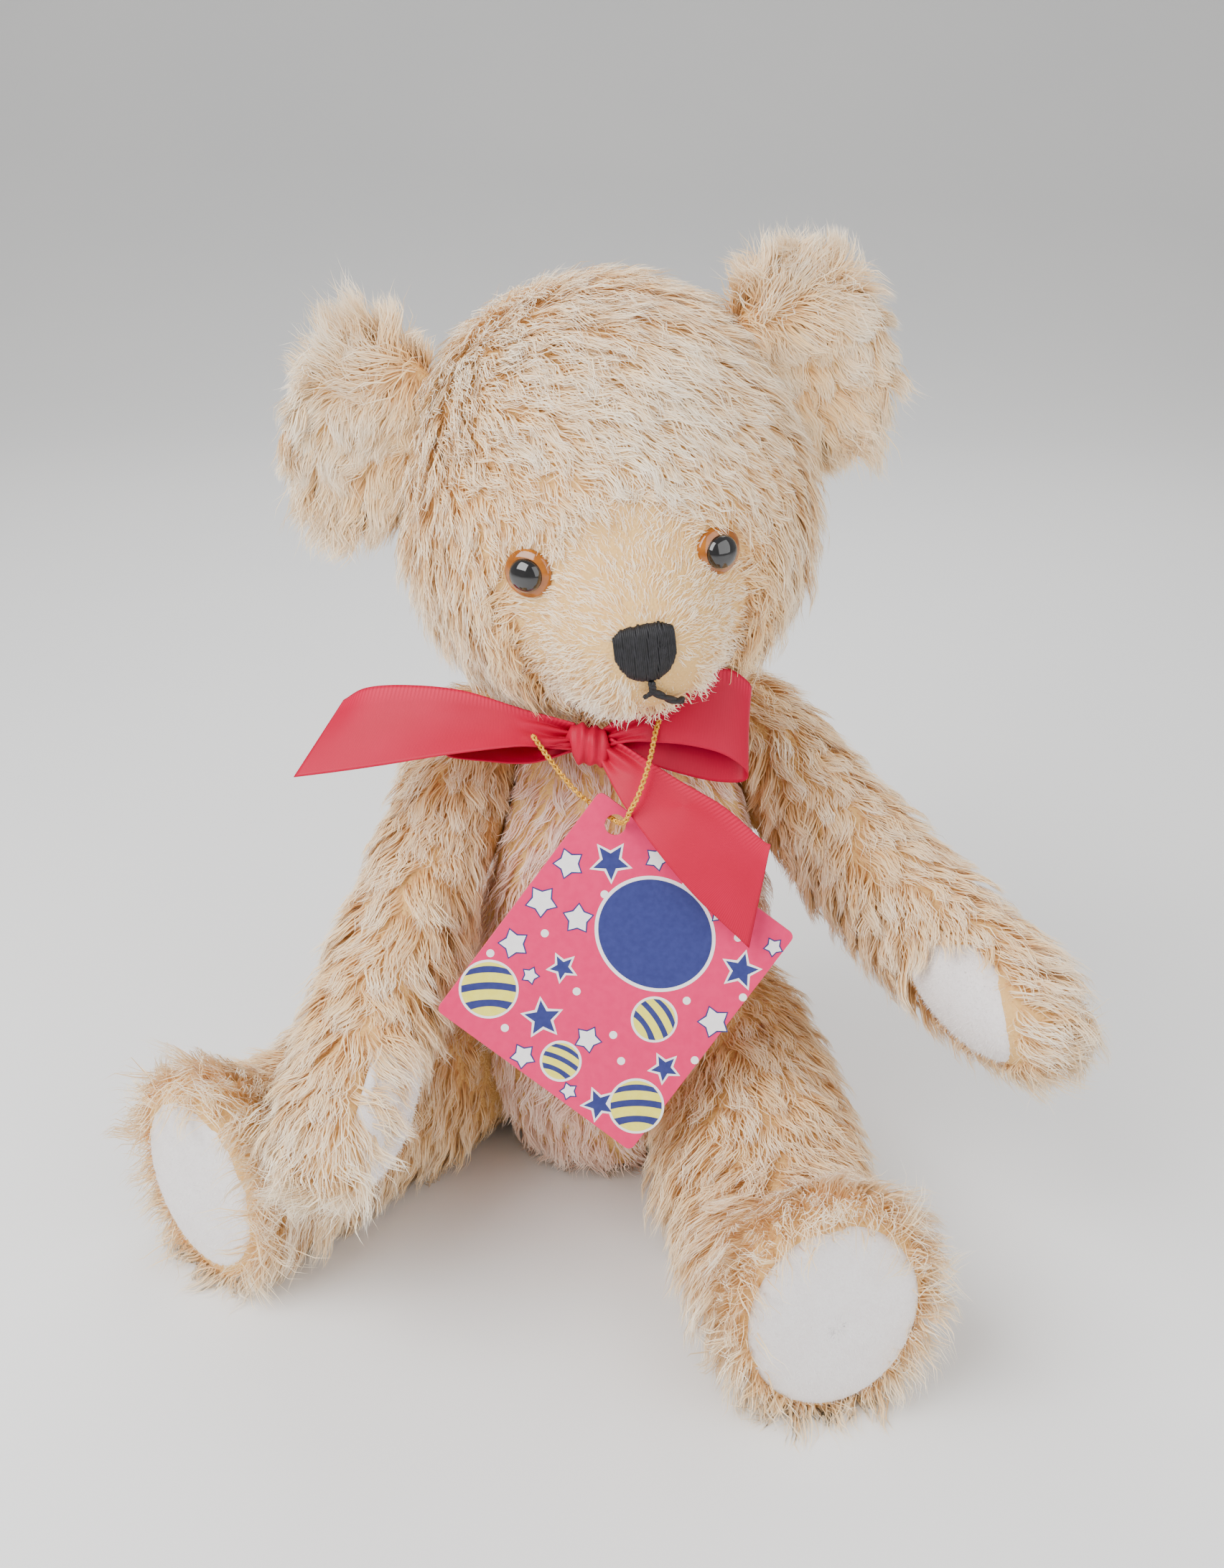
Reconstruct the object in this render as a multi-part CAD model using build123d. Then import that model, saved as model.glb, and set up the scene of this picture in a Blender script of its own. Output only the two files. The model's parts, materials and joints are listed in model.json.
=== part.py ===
"""Jointed mohair teddy bear, seated, as separate sewn panels, stuffing, joints and trimmings.

Millimetres, +Z up. The bear faces -Y, and +X is the bear's left. The floor is z = 0 and the
origin lies on the floor, under the middle of the bear's outline.
"""
from build123d import *
from math import atan2, cos, radians, sin, tan
import os

# ---------------------------------------------------------------- driving dimensions
SKIN = 2.5             # backing cloth with the dense root of its pile
GAP = 0.3              # between pieces of different bodies
SLACK = 0.6            # stuffing inside a skin

TORSO_X, TORSO_Y = 1.0, 4.0      # the torso's own axis
BELLY_R = 43.0
CHEST_R = 33.0
NECK_R = 22.0
SEAT_R = 27.0
NECK_Z = 141.0         # the neck joint's plane
HEAD_ROLL = 8.0        # degrees, towards the bear's right
HEAD_TURN = 6.5        # degrees, towards the bear's left
HEAD_R = 49.0
HEAD_UP = 47.5         # centre of the skull over the neck joint
HEAD_AHEAD = 4.0
CROWN_R, CROWN_UP, CROWN_BACK = 45.0, 11.0, 2.0
MUZZLE_R, MUZZLE_HALF = 23.0, 29.0
MUZZLE_AHEAD, MUZZLE_DOWN = 35.0, 13.0
GUSSET_HALF = 17.0     # half width of the panel over the top of the head

EAR_R, EAR_HEIGHT, EAR_THICK = 20.5, 19.0, 3.0
EAR_SIDE, EAR_UP, EAR_BACK = 54.0, 30.0, 3.0
EYE_SPOTS = {"left": (20.8, 1.2), "right": (-22.6, 3.2)}    # across and up the skull's front
EYE_R, PUPIL_R, EYE_STEM_R, EYE_LOCK_R = 6.5, 3.8, 1.5, 5.5

ARM_DISC_R, LEG_DISC_R, NECK_DISC_R = 11.0, 16.0, 14.0
DISC_THICK, WASHER_THICK, WASHER_R = 2.5, 1.0, 6.0
BOLT_R, BOLT_HEAD_R, BOLT_HEAD, NUT_R, NUT_THICK = 2.0, 4.5, 3.0, 4.0, 3.2
RUNNING = 0.06         # radial clearance of a bolt in a disc that turns on it

TAG_SHORT, TAG_LONG, TAG_LEAF = 60.0, 68.0, 0.5
TAG_HOLE_R = 2.6
TAG_HOLE_IN, TAG_HOLE_DOWN = 8.0, 4.5
TAG_LEAN = 21.0        # degrees from upright
CORD_R = 0.7
RIBBON_THICK = 0.8     # the doubled satin and its sewn edge

THIGH_ROOM = 32.0      # radius of the torso's hollow for a thigh
SHOULDER_TILT = 13.0   # degrees that a shoulder's face looks up
HIP_TILT = -4.0        # degrees that a hip's face looks up, so it looks down a little

OUT = "parts"
os.makedirs(OUT, exist_ok=True)
NODES = {}


def keep(name, shape):
    """File a shape as one node."""
    NODES[name] = shape
    return shape


def normal(turn, tilt, side):
    """The outward normal of a joint face: turned backward by turn, looking up by tilt."""
    return Vector(
        side * cos(radians(tilt)) * cos(radians(turn)),
        cos(radians(tilt)) * sin(radians(turn)),
        sin(radians(tilt)),
    )


def limb_plane(point, out, droop):
    """A limb's frame: x along the limb, z outward, y down on the left and up on the right."""
    level = Vector(0, 0, 1).cross(out).normalized()
    if level.Y > 0:
        level = level * -1
    up = out.cross(level)
    if up.Z < 0:
        up = up * -1
    along = level * cos(radians(droop)) - up * sin(radians(droop))
    return Plane(origin=point, x_dir=along, z_dir=out)


def side_of(frame):
    """+1 if the frame's y looks up, -1 if it looks down."""
    return 1 if frame.y_dir.Z > 0 else -1


def on_axis(frame, radius, low, high):
    """A cylinder about the frame's z axis, between two heights."""
    return frame * Pos(0, 0, (low + high) / 2) * Cylinder(radius, abs(high - low))


def half_space(frame, low, high, size=400):
    """A large block over the frame's plane, from low to high."""
    return frame * Pos(0, 0, (low + high) / 2) * Box(size, size, high - low)


# ---------------------------------------------------------------- frames
NECK = Plane(
    origin=(TORSO_X + 4, TORSO_Y - 1, NECK_Z),
    x_dir=(cos(radians(HEAD_ROLL)), 0, sin(radians(HEAD_ROLL))),
    z_dir=(-sin(radians(HEAD_ROLL)), 0, cos(radians(HEAD_ROLL))),
)
HEAD = NECK.location * Rot(0, 0, HEAD_TURN) * Pos(0, -HEAD_AHEAD, HEAD_UP)

SHOULDERS = {
    "left": limb_plane(Vector(27.5, 14.5, 113), normal(26, SHOULDER_TILT, 1), 18),
    "right": limb_plane(Vector(-25.0, 6.0, 113), normal(5, SHOULDER_TILT, -1), 33),
}
HIPS = {
    "left": limb_plane(Vector(9.0, -9.0, 32.1), normal(9, HIP_TILT, 1), 0),
    "right": limb_plane(Vector(-16.0, 5.0, 32.1), normal(38, HIP_TILT, -1), 0),
}


# ---------------------------------------------------------------- hardware of one joint
def limb_hardware(name, frame, disc_r):
    """The disc, and the bolt with its washer and nut, that turn with a limb or with the head."""
    base = GAP / 2 + SKIN + 0.1
    washer = base + DISC_THICK + 0.1
    head = washer + WASHER_THICK + 0.1
    nut = -(GAP / 2 + SKIN + 0.1 + DISC_THICK + 0.1 + WASHER_THICK + GAP)
    disc = on_axis(frame, disc_r, base, base + DISC_THICK)
    keep(name + "_disc", disc - on_axis(frame, BOLT_R + RUNNING, base - 1, washer))
    ring = on_axis(frame, WASHER_R, washer, washer + WASHER_THICK)
    ring -= on_axis(frame, BOLT_R + RUNNING, washer - 1, head + 1)
    bolt = on_axis(frame, BOLT_HEAD_R, head, head + BOLT_HEAD)
    bolt += on_axis(frame, BOLT_R, nut - NUT_THICK - 1.5, head + 0.5)
    lock = frame * Pos(0, 0, nut - NUT_THICK) * extrude(RegularPolygon(NUT_R, 6), NUT_THICK)
    lock -= on_axis(frame, BOLT_R + 0.02, nut - NUT_THICK - 1, nut + 1)
    keep(name + "_bolt_washer_nut", Compound(children=[ring, bolt, lock]))


def torso_disc(frame, disc_r):
    base = -(GAP / 2 + SKIN + 0.1)
    disc = on_axis(frame, disc_r, base - DISC_THICK, base)
    return disc - on_axis(frame, BOLT_R + RUNNING, base - DISC_THICK - 1, base + 1)


def torso_washer(frame):
    top = -(GAP / 2 + SKIN + 0.1 + DISC_THICK + 0.1)
    ring = on_axis(frame, WASHER_R, top - WASHER_THICK, top)
    return ring - on_axis(frame, BOLT_R + RUNNING, top - WASHER_THICK - 1, top + 1)


def pocket(frame, disc_r, side):
    """The room that a joint's hardware needs inside the stuffing."""
    return on_axis(frame, disc_r + 0.6, 0, side * (GAP / 2 + SKIN + 10.5))


# ---------------------------------------------------------------- torso
def pear(inset):
    """The torso's round body, smaller by inset all round."""
    low = inset
    outline = Spline(
        (SEAT_R - inset, low),
        (BELLY_R - 4 - inset, 17),
        (BELLY_R - inset, 45),
        (BELLY_R - 2.5 - inset, 76),
        (CHEST_R - inset, 113),
        (NECK_R + 1 - inset, 132),
        (NECK_R - inset, NECK_Z + 6),
    )
    edges = [
        Line((0, low), (SEAT_R - inset, low)),
        outline,
        Line((NECK_R - inset, NECK_Z + 6), (0, NECK_Z + 6)),
        Line((0, NECK_Z + 6), (0, low)),
    ]
    face = Plane.XZ * make_face(edges)
    return Pos(TORSO_X, TORSO_Y, 0) * revolve(face, Axis.Z)


def joint_frames():
    return [*SHOULDERS.values(), *HIPS.values(), NECK]


def room_for(frame, low, grow):
    """What a joint takes off the torso: all beyond its face, or a hollow that a thigh swings in."""
    if frame not in HIPS.values():
        return half_space(frame, low, 120)
    reach, up = THIGH_ROOM + grow, side_of(frame)
    room = on_axis(frame, reach, low, 120)
    middle = (low + 120) / 2
    room += frame * Pos(100, up * (reach - 150), middle) * Box(200, 300, 120 - low)
    room += frame * Pos(100 - reach, -up * 100, middle) * Box(200, 200, 120 - low)
    return room


def make_torso():
    outer, inner, fill = pear(0), pear(SKIN), pear(SKIN + SLACK)
    for frame in joint_frames():
        outer -= room_for(frame, -GAP / 2, 0)
        inner -= room_for(frame, -GAP / 2 - SKIN, SKIN)
        fill -= room_for(frame, -GAP / 2 - SKIN - SLACK, SKIN + SLACK)
        fill -= pocket(frame, disc_radius(frame), -1)
    shell = outer - inner
    for frame in joint_frames():
        shell -= on_axis(frame, BOLT_R + 0.5, -GAP / 2 - SKIN - 2, 2)
    left = Pos(TORSO_X + 150.05, 0, 100) * Box(300, 300, 300)
    right = Pos(TORSO_X - 150.05, 0, 100) * Box(300, 300, 300)
    keep("torso_panel_left", shell & left)
    keep("torso_panel_right", shell & right)
    keep("torso_stuffing", fill)
    shoulder = [torso_disc(f, ARM_DISC_R) for f in SHOULDERS.values()]
    hip = [torso_disc(f, LEG_DISC_R) for f in HIPS.values()]
    keep("shoulder_inner_discs", Compound(children=shoulder))
    keep("hip_inner_discs", Compound(children=hip))
    keep("neck_lower_disc", torso_disc(NECK, NECK_DISC_R))
    washers = [torso_washer(frame) for frame in joint_frames()]
    keep("torso_washers", Compound(children=washers))


def disc_radius(frame):
    if frame is NECK:
        return NECK_DISC_R
    return ARM_DISC_R if frame in SHOULDERS.values() else LEG_DISC_R


# ---------------------------------------------------------------- limbs
def tapered(frame, stations, inset):
    """A closed body through oval sections across x: (x, y, z, half height, half thickness)."""
    up = side_of(frame)
    last = len(stations) - 1
    ovals = []
    for i, (x, y, z, tall, thick) in enumerate(stations):
        if i == 0:
            x += inset
        if i == last:
            x -= inset
        plane = Plane(origin=(x, up * y, z), x_dir=(0, 1, 0), z_dir=(1, 0, 0))
        ovals.append(plane * Ellipse(tall - inset, thick - inset))
    return frame * loft(ovals)


# Stations along a limb: x, y and z of the oval's middle, half height, half thickness.
ARM = [
    (-20, 0, 9, 7, 6), (-16.5, 0, 9.5, 12.5, 10.5), (-8.5, 0, 10, 17.3, 14), (4, -1, 11.5, 19, 15.3),
    (30, -4.5, 15.5, 18, 14), (60, -6.5, 19, 17, 14), (90, -4.5, 20, 16.8, 14),
    (110, -1, 20, 15.5, 13), (120, 1, 20, 12, 10.5), (125, 2, 20, 7, 6.5),
]
LEG = [
    (-27, 0, 14, 9, 8), (-22, 0, 15, 18, 15), (-10, 0, 17.5, 27, 21.5), (6, 0, 19.5, 30, 24),
    (34, -2, 21.5, 28.5, 24.5), (62, -5, 24.5, 24.5, 22), (84, -5.5, 24.5, 23.5, 21),
    (98, -2.5, 25, 26.5, 21.5), (108, 0, 25.5, 30, 22.5), (114, 0, 25.5, 28, 20.5),
]
SOLE_X, SOLE_Z = 110.0, 25.5
SOLE_PAD_TALL, SOLE_PAD_WIDE = 26.0, 19.4          # half sizes
PAW_PAD_X, PAW_PAD_LONG, PAW_PAD_WIDE = 104.0, 18.5, 13.8
ARM_SEAM, LEG_SEAM = 18.0, 23.0


def make_limb(name, frame, stations, seam, disc_r, pad, pad_cutter):
    """Two sewn panels, the felt pad let into them, the stuffing and the joint's hardware."""
    outer = tapered(frame, stations, 0)
    inner = tapered(frame, stations, SKIN) & half_space(frame, GAP / 2 + SKIN, 120)
    fill = tapered(frame, stations, SKIN + SLACK)
    fill &= half_space(frame, GAP / 2 + SKIN + SLACK, 120)
    fill -= pocket(frame, disc_r, 1)
    hole = on_axis(frame, BOLT_R + 0.5, -2, GAP / 2 + SKIN + 1)
    near = outer & half_space(frame, GAP / 2, seam - 0.02)
    far = outer & half_space(frame, seam + 0.02, 120)
    keep(pad, (outer & pad_cutter) - inner)
    keep(name + "_inner_panel", near - inner - pad_cutter - hole)
    keep(name + "_outer_panel", far - inner - pad_cutter)
    keep(name + "_stuffing", fill)
    limb_hardware(name, frame, disc_r)


def make_arm(side):
    frame = SHOULDERS[side]
    cutter = extrude(Ellipse(PAW_PAD_LONG, PAW_PAD_WIDE), 40)
    cutter = frame * Pos(PAW_PAD_X, 0, ARM_SEAM - 1 - 40) * cutter
    make_limb("arm_" + side, frame, ARM, ARM_SEAM, ARM_DISC_R, "paw_pad_" + side, cutter)


def make_leg(side):
    frame = HIPS[side]
    plane = Plane(origin=(SOLE_X, 0, SOLE_Z), x_dir=(0, 1, 0), z_dir=(1, 0, 0))
    cutter = frame * extrude(plane * Ellipse(SOLE_PAD_TALL, SOLE_PAD_WIDE), 20)
    make_limb("leg_" + side, frame, LEG, LEG_SEAM, LEG_DISC_R, "foot_pad_" + side, cutter)


# ---------------------------------------------------------------- head
def muzzle(grow):
    """An egg along the head's y axis."""
    tall, long = MUZZLE_R + grow, MUZZLE_HALF + grow
    half = make_face([
        EllipticalCenterArc((0, 0), tall, long, start_angle=-90, arc_size=180),
        Line((0, long), (0, -long)),
    ])
    egg = revolve(half, Axis.Y)
    return HEAD * Pos(0, -MUZZLE_AHEAD, -MUZZLE_DOWN) * egg


def head_body(inset):
    """The skull, muzzle and neck as one body, smaller by inset."""
    body = HEAD * Sphere(HEAD_R - inset) + muzzle(-inset)
    body += HEAD * Pos(0, CROWN_BACK, CROWN_UP) * Sphere(CROWN_R - inset)
    body += on_axis(NECK, NECK_R - 1 - inset, GAP / 2 + inset, 22)
    return body & half_space(NECK, GAP / 2 + inset, 300)


def on_skull(side, up, lift):
    """A frame on the skull's front, z outward, where the eye's axis leaves it."""
    ahead = (HEAD_R**2 - side**2 - up**2) ** 0.5
    out = Vector(side, -ahead, up).normalized()
    spot = Plane(origin=out * (HEAD_R + lift), x_dir=Vector(0, 0, 1).cross(out), z_dir=out)
    return HEAD * spot.location


def make_head():
    outer, inner = head_body(0), head_body(SKIN)
    shell = outer - inner - on_axis(NECK, BOLT_R + 0.5, -1, 6)
    spots = {side: on_skull(across, up, 0) for side, (across, up) in EYE_SPOTS.items()}
    locks = []
    fill = head_body(SKIN + SLACK) - pocket(NECK, NECK_DISC_R, 1)
    for spot in spots.values():
        fill -= on_axis(spot, EYE_LOCK_R + 1.1, -9, 0)
        shell -= on_axis(spot, EYE_STEM_R + 0.2, -SKIN - 1, 1)
    top = HEAD * Pos(0, 0, 50 - MUZZLE_DOWN + 9) * Box(2 * GUSSET_HALF, 200, 100)
    keep("head_gusset", shell & top)
    sides = shell - top
    keep("head_panel_left", sides & (HEAD * Pos(100.02, 0, 0) * Box(200, 200, 200)))
    keep("head_panel_right", sides & (HEAD * Pos(-100.02, 0, 0) * Box(200, 200, 200)))
    keep("head_stuffing", fill)
    limb_hardware("neck", NECK, NECK_DISC_R)
    for side, spot in spots.items():
        disc = on_axis(spot, EYE_R, 0.4, 1.6) + on_axis(spot, EYE_STEM_R, -6, 1)
        keep("eye_" + side, disc - (outer - on_axis(spot, EYE_STEM_R + 0.2, -9, 2)))
        dome = spot * Pos(0, 0, 1.65) * Sphere(PUPIL_R)
        dome = dome & half_space(spot, 1.65, 9, 30)
        keep("pupil_" + side, dome)
        ring = on_axis(spot, EYE_LOCK_R, -SKIN - 2.2, -SKIN - 0.9)
        locks.append(ring - on_axis(spot, EYE_STEM_R + RUNNING, -9, 0))
    keep("eye_lock_washers", Compound(children=locks))
    make_ears(outer)
    make_nose(outer)


def make_ears(skull):
    for side, sign in (("left", 1), ("right", -1)):
        out = Vector(sign * EAR_SIDE, 0, EAR_UP).normalized()
        front = Vector(sign * 0.2, -1, 0)
        front = (front - out * front.dot(out)).normalized()
        base = Plane(origin=(sign * EAR_SIDE, EAR_BACK, EAR_UP), x_dir=out, z_dir=front)
        spot = HEAD * base.location
        for name, low in (("front", 0.05), ("back", -EAR_THICK - 0.05)):
            leaf = extrude(Pos(0, 0, low) * Ellipse(EAR_HEIGHT, EAR_R), EAR_THICK)
            rim = leaf.edges().sort_by(Axis.Z)[-1 if low > 0 else 0]
            leaf = fillet(rim, EAR_THICK * 0.8)
            keep(f"ear_{side}_{name}", spot * leaf - skull)


def make_nose(head):
    """Embroidered nose and mouth, standing a little proud of the muzzle."""
    skin = muzzle(1.5) - muzzle(0.05)
    ahead = MUZZLE_AHEAD + MUZZLE_HALF + 8
    tip = HEAD * Plane(origin=(0, -ahead, -MUZZLE_DOWN), x_dir=(1, 0, 0), z_dir=(0, 1, 0)).location
    outline = make_face(Spline(
        (-6.6, -5.2), (0, -6.4), (6.6, -5.2), (6.4, 1.2), (0, 7.2), (-6.4, 1.2), periodic=True,
    ))
    keep("nose", skin & (tip * extrude(outline, 22)))
    stem = Pos(0.2, 9.3, 11) * Box(1.2, 3.6, 22)
    left_stroke = Pos(3.9, 11.6, 11) * Rot(0, 0, 29) * Box(8.8, 1.2, 22)
    right_stroke = Pos(-0.6, 10.1, 11) * Rot(0, 0, -40) * Box(2.6, 1.0, 22)
    keep("mouth", skin & (tip * (stem + left_stroke + right_stroke)))


# ---------------------------------------------------------------- ribbon, tag and cord
KNOT = Vector(-6.3, -30.4, 136.5)
COLLAR = Plane(origin=(3, 3.5, 142.5))     # the top of the ribbon round the neck
BAND_R, BAND_THICK, BAND_TALL, BAND_DROP = 27.4, 1.0, 5.0, 0.9


def strip(corners, thick=RIBBON_THICK):
    """A flat ribbon end through three or four corners, the first three setting its plane."""
    a, b, c = (Vector(*p) for p in corners[:3])
    along = (b - a).normalized()
    face_normal = along.cross(c - a).normalized()
    plane = Plane(origin=a, x_dir=along, z_dir=face_normal)
    flat = [plane.to_local_coords(Vector(*p)) for p in corners]
    outline = Polygon(*[(p.X, p.Y) for p in flat], align=None)
    return plane * extrude(outline, thick / 2, both=True)


def bow_loop(start, end, depth, thick):
    """A flattened ribbon loop as one closed body from the knot outward."""
    along = (end - start).normalized()
    across = (Vector(0, 0.45, 1) - along * Vector(0, 0.45, 1).dot(along)).normalized()
    plane = Plane(origin=start, x_dir=along, z_dir=across)
    length = (end - start).length
    outline = make_face(Spline(
        (0, 0), (length * 0.5, -thick / 2), (length, 0), (length * 0.5, thick / 2), periodic=True,
    ))
    return plane * extrude(outline, depth / 2, both=True)


def make_ribbon():
    band = on_axis(COLLAR, BAND_R + BAND_THICK, -BAND_TALL, -BAND_DROP)
    band -= on_axis(COLLAR, BAND_R, -20, 5)
    knot = Pos(*KNOT) * Rot(0, 0, 8) * Box(10, 6, 9)
    knot = fillet(knot.edges(), 1.8)
    keep("ribbon_knot", knot)
    keep("ribbon_neckband", band - (Pos(*KNOT) * Box(11.5, 7.5, 12)))
    left = bow_loop(KNOT + Vector(6, -1, -0.5), KNOT + Vector(43, -3, 4.5), 17.5, 8)
    right = bow_loop(KNOT + Vector(-6, -1, -1), KNOT + Vector(-42, 2, -3), 17, 6)
    keep("bow_loop_left", left)
    keep("bow_loop_right", right)
    keep("ribbon_tail_right", strip(
        [(-17, -40.2, 137.5), (-78.6, -38, 132), (-67, -25, 148.3), (-17, -35.5, 145)]))
    keep("ribbon_tail_left", strip(
        [(1, -41.5, 130.5), (33, -60, 103.5), (38, -52.5, 125), (14, -43, 138.5)]))


TAG_HOLE = Vector(0.8, -45.7, 123)


def tag_frame():
    """The tag's plane through its hole: x along the short side, z towards the viewer."""
    lean = radians(TAG_LEAN)
    turn = atan2(TAG_SHORT / 2 - TAG_HOLE_IN, TAG_LONG / 2 - TAG_HOLE_DOWN)
    face_normal = Vector(0, -cos(lean), sin(lean))
    down = Vector(0, -sin(lean), -cos(lean))
    short_dir = Vector(1, 0, 0) * cos(turn) + down * sin(turn)
    return Plane(origin=TAG_HOLE, x_dir=short_dir, z_dir=face_normal)


def make_tag():
    frame = tag_frame()
    middle = (TAG_SHORT / 2 - TAG_HOLE_IN, -(TAG_LONG / 2 - TAG_HOLE_DOWN))
    for name, low in (("tag_front_leaf", 0.05), ("tag_back_leaf", -TAG_LEAF - 0.05)):
        leaf = Pos(middle[0], middle[1], low + TAG_LEAF / 2) * Box(TAG_SHORT, TAG_LONG, TAG_LEAF)
        leaf -= Cylinder(TAG_HOLE_R, 8)
        keep(name, frame * leaf)


def corner_radii(points):
    """0.45 of the shorter run beside each corner, over the tangent of half its turn."""
    radii = []
    for a, b, c in zip(points, points[1:], points[2:]):
        one, two = Vector(*b) - Vector(*a), Vector(*c) - Vector(*b)
        turn = radians(one.get_angle(two))
        radii.append(0.45 * min(one.length, two.length) / tan(turn / 2))
    return radii


def neck_ring_points(radius, height, first, last, steps):
    """Points round the neck, from one angle to another."""
    points = []
    for i in range(steps + 1):
        angle = radians(first + (last - first) * i / steps)
        spot = Vector(radius * cos(angle), radius * sin(angle), height)
        points.append(COLLAR.from_local_coords(spot))
    return points


# The cord from its end behind the bow, through the tag's hole and up in front of the ribbon.
CORD_START = (-19.3, -40.0, 144.5)
CORD_AT_TAG = [(-14.5, 0.2, -2.6), (-4.6, 0.4, -3.0), (0.2, 0.6, 0.3), (1.4, 2.2, 4.6), (0.4, 5.2, 6.5)]
CORD_UP = [(6.5, -50.5, 133.5), (9.4, -45.2, 141),
           (11.2, -38, 148.8), (17.5, -26.8, 148.3), (28, -14, 143)]
CORD_RING_R = 30.7


def make_cord():
    at_tag = [tag_frame().from_local_coords(Vector(*spot)) for spot in CORD_AT_TAG]
    back = neck_ring_points(CORD_RING_R, -2.5, -8, 228, 9)
    route = [CORD_START, *at_tag, *CORD_UP, *back]
    radii = corner_radii(route)
    path = FilletPolyline(*route, radius=radii)
    start = Plane(origin=path @ 0, z_dir=path % 0)
    cord = sweep(start * Circle(CORD_R), path)
    keep("tag_cord", cord)
    print("cord radii", [round(r, 1) for r in radii])
    print("cord length", round(path.length, 1), "volume", round(cord.volume, 1),
          "section x length", round(path.length * 3.14159 * CORD_R**2, 1))


def shifted():
    """Move the bear so that the origin is on the floor under the middle of its outline."""
    free = [s for name, s in NODES.items() if name != "tag_cord"]
    boxes = [s.bounding_box() for s in free]
    low_x, high_x = min(b.min.X for b in boxes), max(b.max.X for b in boxes)
    low_y, high_y = min(b.min.Y for b in boxes), max(b.max.Y for b in boxes)
    low_z = min(b.min.Z for b in boxes)
    return Vector(-(low_x + high_x) / 2, -(low_y + high_y) / 2, -low_z)


def main():
    make_torso()
    for side in ("left", "right"):
        make_arm(side)
        make_leg(side)
    make_head()
    make_ribbon()
    make_tag()
    make_cord()
    move = shifted()
    print("shift", [round(v, 4) for v in move])
    for name, shape in NODES.items():
        export_step(Pos(*move) * shape, f"{OUT}/{name}.step")


main()
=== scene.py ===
"""Looks for the jointed teddy bear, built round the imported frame. Metres."""

import json
from math import atan2, cos, pi, radians, sin, sqrt

import bmesh
import bpy
import numpy as np
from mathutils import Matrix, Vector
from mathutils.bvhtree import BVHTree
from mathutils.kdtree import KDTree


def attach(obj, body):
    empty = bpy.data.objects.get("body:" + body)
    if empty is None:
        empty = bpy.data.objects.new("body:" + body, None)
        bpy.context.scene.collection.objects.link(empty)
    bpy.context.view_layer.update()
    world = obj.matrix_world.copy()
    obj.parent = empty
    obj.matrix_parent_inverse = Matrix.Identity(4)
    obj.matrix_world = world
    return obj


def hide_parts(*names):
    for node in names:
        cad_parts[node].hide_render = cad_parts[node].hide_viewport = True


MM = 0.001
FULL_TURN = 2 * pi
SIDES = ("left", "right")
SIGN = {"left": 1, "right": -1}
NECK = (5, 3, 141)
HEAD_YAW, HEAD_BACK, HEAD_UP = 6.5, 4, 47.5
HEAD_RADIUS = 49
ARM_DROOP = {"left": 18, "right": 33}
RIBBON_WIDTH, RIBBON_THICK = 0.025, 0.3
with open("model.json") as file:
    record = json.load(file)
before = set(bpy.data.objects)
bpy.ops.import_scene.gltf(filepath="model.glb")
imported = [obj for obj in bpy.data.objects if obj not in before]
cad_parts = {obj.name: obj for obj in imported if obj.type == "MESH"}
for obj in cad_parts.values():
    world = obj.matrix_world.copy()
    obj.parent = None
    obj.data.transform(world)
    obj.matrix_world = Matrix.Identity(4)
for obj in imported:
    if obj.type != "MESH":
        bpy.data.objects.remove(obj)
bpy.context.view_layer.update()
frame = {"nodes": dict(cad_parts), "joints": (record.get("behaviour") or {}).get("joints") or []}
joints = {joint["name"]: joint for joint in frame["joints"]}
rng = np.random.default_rng(11)


# ---- places
def unit(v):
    v = np.asarray(v, float)
    return v / np.maximum(np.linalg.norm(v, axis=-1, keepdims=True), 1e-12)


neck_at = np.array(joints["neck_turn"]["pos_m"])
neck_up = unit(joints["neck_turn"]["axis"])
SHIFT = neck_at - np.array(NECK) * MM


def at(*point):
    """A point of the part's drawing, in millimetres, as metres in the row frame."""
    return SHIFT + np.array(point, float) * MM


class Place:
    """A local frame in millimetres."""

    def __init__(self, origin, x, y, z):
        self.origin, self.axes = np.array(origin), np.array([x, y, z], float)

    def local(self, points):
        return (points - self.origin) @ self.axes.T / MM

    def world(self, points):
        return self.origin + np.asarray(points, float) @ self.axes * MM

    def turn(self, vectors):
        return np.asarray(vectors, float) @ self.axes


def head_place():
    x, z = np.array((neck_up[2], 0, -neck_up[0])), neck_up
    y = np.cross(z, x)
    a = radians(HEAD_YAW)
    across, back = x * cos(a) + y * sin(a), y * cos(a) - x * sin(a)
    return Place(neck_at - back * HEAD_BACK * MM + z * HEAD_UP * MM, across, back, z)


def limb_place(joint, droop, inward):
    """Along the limb, up across it, and outward from the torso."""
    spec = joints[joint]
    out = unit(spec["axis"]) * inward
    level = unit(np.cross((0, 0, 1), out))
    level = -level if level[1] > 0 else level
    up = np.cross(out, level)
    up = -up if up[2] < 0 else up
    a = radians(droop)
    along = level * cos(a) - up * sin(a)
    over = unit(up - along * np.dot(up, along))
    return Place(spec["pos_m"], along, over, out)


HEAD = head_place()
ARMS = {side: limb_place("shoulder_" + side, ARM_DROOP[side], -SIGN[side]) for side in SIDES}
LEGS = {side: limb_place("hip_" + side, 0, -SIGN[side]) for side in SIDES}
TORSO = Place(at(1, 4, 0), (1, 0, 0), (0, 1, 0), (0, 0, 1))


# ---- meshes
def link(name, mesh):
    obj = bpy.data.objects.new(name, mesh)
    bpy.context.scene.collection.objects.link(obj)
    return obj


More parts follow.
